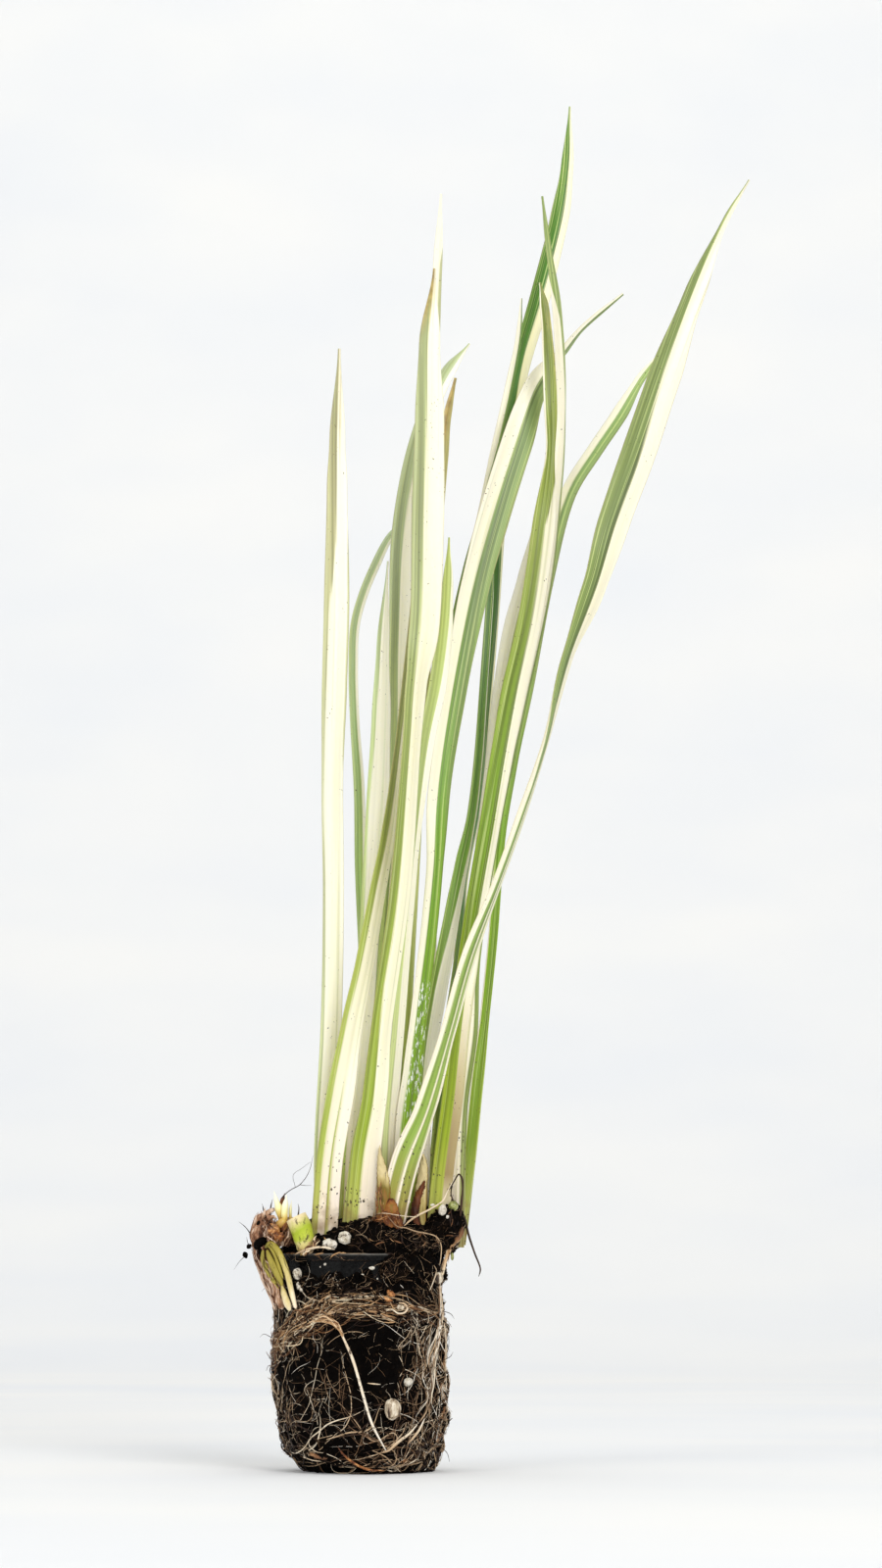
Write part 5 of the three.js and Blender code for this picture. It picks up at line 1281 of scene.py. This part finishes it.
def joinedSurface(pieces):
    vertices, faces = [], []
    for piece in pieces:
        start = len(vertices)
        vertices += [v.co.copy() for v in piece.data.vertices]
        faces += [[start + i for i in face.vertices] for face in piece.data.polygons]
    return BVHTree.FromPolygons(vertices, faces)


def bareness(degrees, height):  # below 1 inside the bare window
    return math.hypot((degrees - bareWindow["angle"]) / bareWindow["angleReach"],
                      (height - bareWindow["height"]) / bareWindow["heightReach"])


def startSpot(surface, kind, degrees, height, chance):
    s = rootWalk
    way = math.radians(degrees)
    if kind == "mound":  # dropped on the mound from above
        x = 3 + chance.uniform(3, 28) * math.cos(way)
        y = chance.uniform(3, 22) * math.sin(way)
        above = Vector((x, y, 90)) * mm
        return surface.ray_cast(above, downwards)[0] or above
    out = s["startOut"]
    if height >= s["moundFrom"]:
        out = s["moundOut"] - (height - s["moundFrom"]) * s["moundIn"]
    return Vector((out * math.cos(way), out * math.sin(way), height)) * mm


def steer(heading, facts, near, normal, around):
    if facts["line"] == "arch":
        look = rootWalk["archLook"]
        ahead = between(archLine, around + look)[0] - between(archLine, around - look)[0]
        level = upwards.cross(normal).normalized()
        along = (level + upwards * ahead * mm / rootWalk["archLength"]).normalized()
        along *= 1 if along.dot(heading) > 0 else -1
        back = between(archLine, around)[0] - near.z / mm
        most = rootWalk["archBackMost"]
        pull = max(-most, min(most, back * rootWalk["archBack"]))
        heading = heading + (along * rootWalk["archPull"] + upwards * pull)
    if facts["line"] == "down":
        heading = heading + Vector((0, 0, -1 if heading.z < 0 else 1)) * rootWalk["downPull"]
    return heading


def walkRoot(surface, kind, chance):
    facts, s = rootKinds[kind], rootWalk
    degrees = chance.uniform(*facts["angle"])
    height = chance.uniform(*facts["height"])
    if facts["line"] == "arch":
        height += between(archLine, degrees)[0]
    kept = bareWindow["hairKept" if kind == "hair" else "kept"]
    if chance.random() > max(kept, bareness(degrees, height) - bareWindow["slack"]):
        return None
    spot = startSpot(surface, kind, degrees, height, chance)
    slope = facts["slope"] + chance.uniform(-facts["spread"], facts["spread"])
    if chance.random() < 0.5:
        slope += math.pi
    length = chance.randint(*facts["steps"])
    radius = chance.uniform(*facts["radius"])
    tone = facts["tone"][0] + (facts["tone"][1] - facts["tone"][0]) * chance.random() ** s["tonePower"]
    lift = facts["lift"] * chance.random() ** 2
    phase, beat = chance.uniform(0, 6), chance.uniform(*s["beat"])
    heading, bend, rows = None, 0.0, []
    for i in range(length):
        near, normal = surface.find_nearest(spot)[:2]
        if heading is None:
            level = upwards.cross(normal)
            level = level.normalized() if level.length > 0.1 else Vector((1, 0, 0))
            heading = level * math.cos(slope) + normal.cross(level) * math.sin(slope)
        around = math.degrees(math.atan2(near.y, near.x))
        around -= 360 if around > s["seam"] else 0
        if kind != "hair" and bareness(around, near.z / mm) < bareWindow["closed"]:
            break
        bend = s["bendKept"] * bend + chance.gauss(0, facts["curl"])
        bend += chance.uniform(-s["kink"], s["kink"]) if chance.random() < s["kinkChance"] else 0
        heading = steer(heading + normal.cross(heading) * bend, facts, near, normal, around)
        heading = (heading - normal * heading.dot(normal)).normalized()
        if near.z < s["floorNear"] * mm and heading.z < 0:
            heading.z = -heading.z
        rise = radius * s["sunk"] + lift * max(0.0, math.sin(phase + beat * i))
        thin = min(1.0, 2.5 * (length - i) / length, 0.5 + 2.5 * i / length)
        place = near / mm + normal * rise
        place.z = max(place.z, radius)
        rows.append((place, radius * thin, min(1.0, max(0.0, tone + chance.gauss(0, s["toneDrift"])))))
        spot = near + heading * s["step"] * mm
    if len(rows) < s["leastRows"]:
        return None
    rows[-1] = (rows[-1][0], rows[-1][1] * s["tipShare"], rows[-1][2])
    for i in range(facts["smooth"]):
        inner = [((a[0] + 2 * b[0] + c[0]) / 4, *b[1:]) for a, b, c in zip(rows, rows[1:], rows[2:])]
        rows = [rows[0], *inner, rows[-1]]
    return rows


def makeThickRoot(startAngle, endAngle, startHeight, endHeight, rise, radius):
    s, points = thickShape, []
    for i in range(s["points"]):
        part = i / (s["points"] - 1)
        way = math.radians(startAngle + (endAngle - startAngle) * part)
        height = startHeight + (endHeight - startHeight) * part + rise * math.sin(math.pi * part)
        out = s["out"] - max(0, s["below"] - height) * s["nearer"]
        x, y = s["middle"] + out * math.cos(way), out * math.sin(way)
        points.append((x, y, max(height, radius + s["clear"]), radius))
    return [(p, r, s["tone"] + s["toneWave"] * math.sin(9 * t + startAngle)) for p, r, t in pathRows(points)]


ballSurface = joinedSurface([soilCrust, matCrust, cadNodes["net_pot"]])
chance = random.Random(11)
for kind, facts in rootKinds.items():
    walked = [walkRoot(ballSurface, kind, chance) for i in range(facts["count"])]
    walked = [rows for rows in walked if rows]
    thickest = facts["radius"][1]
    sides = 5 if thickest > 0.2 else 3 if thickest < 0.1 else 4  # fewer sides on thinner roots
    rootPiece = makeRods("roots_" + kind, "root_felt", skinOf[facts["skin"]], walked, sides)
    print("roots", kind, len(walked), len(rootPiece.data.polygons))
thickPaths = [makeThickRoot(*facts) for facts in thickRoots]
makeRods("roots_thick", "root_felt", skinOf["agedRoot"], thickPaths, 10, (0.5, 500))

for potSlot in cadNodes["net_pot"].material_slots:
    potSlot.material = skinOf["blackPlastic"]

# Pale floor that curves up behind, with faint bluish-grey blotches that paint soft shadows on it, two soft
# lights on the plant, one on the wall, and a bright room
stage = {"floor": ((0.3, "#EAECEE"), (0.7, "#F1F1EF")), "grain": 30, "front": -3.0, "back": 2.4, "curve": 1.3,
         "curveRows": 24, "top": 4.0, "halfWidth": 4.0, "room": "#FFFFFF", "roomStrength": 0.62}
lamps = {  # place, what it is aimed at, size in m, power in W
    "window": ((1.1, -2.3, 1.3), (0.02, 0, 0.2), 1.3, 40),
    "fill": ((-1.8, -1.9, 0.9), (0.02, 0, 0.2), 1.6, 20),
    "backdrop": ((0, 0.4, 2.8), (0, 2.4, 0.7), 1.6, 16),
}
# Camera level with the pot, looking slightly up the leaves
view = {"place": (0.025, -1.2, 0.057), "aim": (0.025, 0.0, 0.209), "frameHeight": 0.4838}


def makeFloor():
    back, curve, width = stage["back"], stage["curve"], stage["halfWidth"]
    outline = [(stage["front"], 0.0), (back - curve, 0.0)]
    for i in range(1, stage["curveRows"] + 1):
        angle = math.pi / 2 * i / stage["curveRows"]
        outline.append((back - curve * (1 - math.sin(angle)), curve * (1 - math.cos(angle))))
    outline.append((back, stage["top"]))
    vertices = [(x, y, z) for y, z in outline for x in (-width, width)]
    faces = [(2 * i, 2 * i + 1, 2 * i + 3, 2 * i + 2) for i in range(len(outline) - 1)]
    floor = newPiece("floor", vertices, (), faces)
    smoothFaces(floor.data)
    material, add = newMaterial("mattPaper")
    # Faint bluish-grey blotches: painted soft shadows on the paper
    grain = add("ShaderNodeTexNoise", Scale=stage["grain"])
    paperShadowBlotches = add("ShaderNodeValToRGB", Fac=grain, stops=stage["floor"])
    floor.data.materials.append(finishMaterial(material, Base_Color=paperShadowBlotches, Roughness=0.9))


def hang(name, data, place, aim):
    holder = bpy.data.objects.new(name, data)
    holder.location = place
    holder.rotation_euler = (Vector(aim) - Vector(place)).to_track_quat("-Z", "Y").to_euler()
    scene.collection.objects.link(holder)
    return holder


makeFloor()
scene.world = bpy.data.worlds.new("room")
scene.world.use_nodes = True
sky = scene.world.node_tree.nodes["Background"]
sky.inputs["Color"].default_value = linear(stage["room"])
sky.inputs["Strength"].default_value = stage["roomStrength"]
for lampName, (place, aim, size, power) in lamps.items():
    lamp = bpy.data.lights.new(lampName, "AREA")
    lamp.shape, lamp.size, lamp.energy = "DISK", size, power
    hang(lampName, lamp, place, aim)

camera = bpy.data.cameras.new("camera")
camera.sensor_fit = "VERTICAL"
distance = (Vector(view["aim"]) - Vector(view["place"])).length
camera.lens = camera.sensor_height * distance / view["frameHeight"]
scene.camera = hang("camera", camera, view["place"], view["aim"])
scene.view_settings.view_transform = "Standard"

print("camera and stage done")
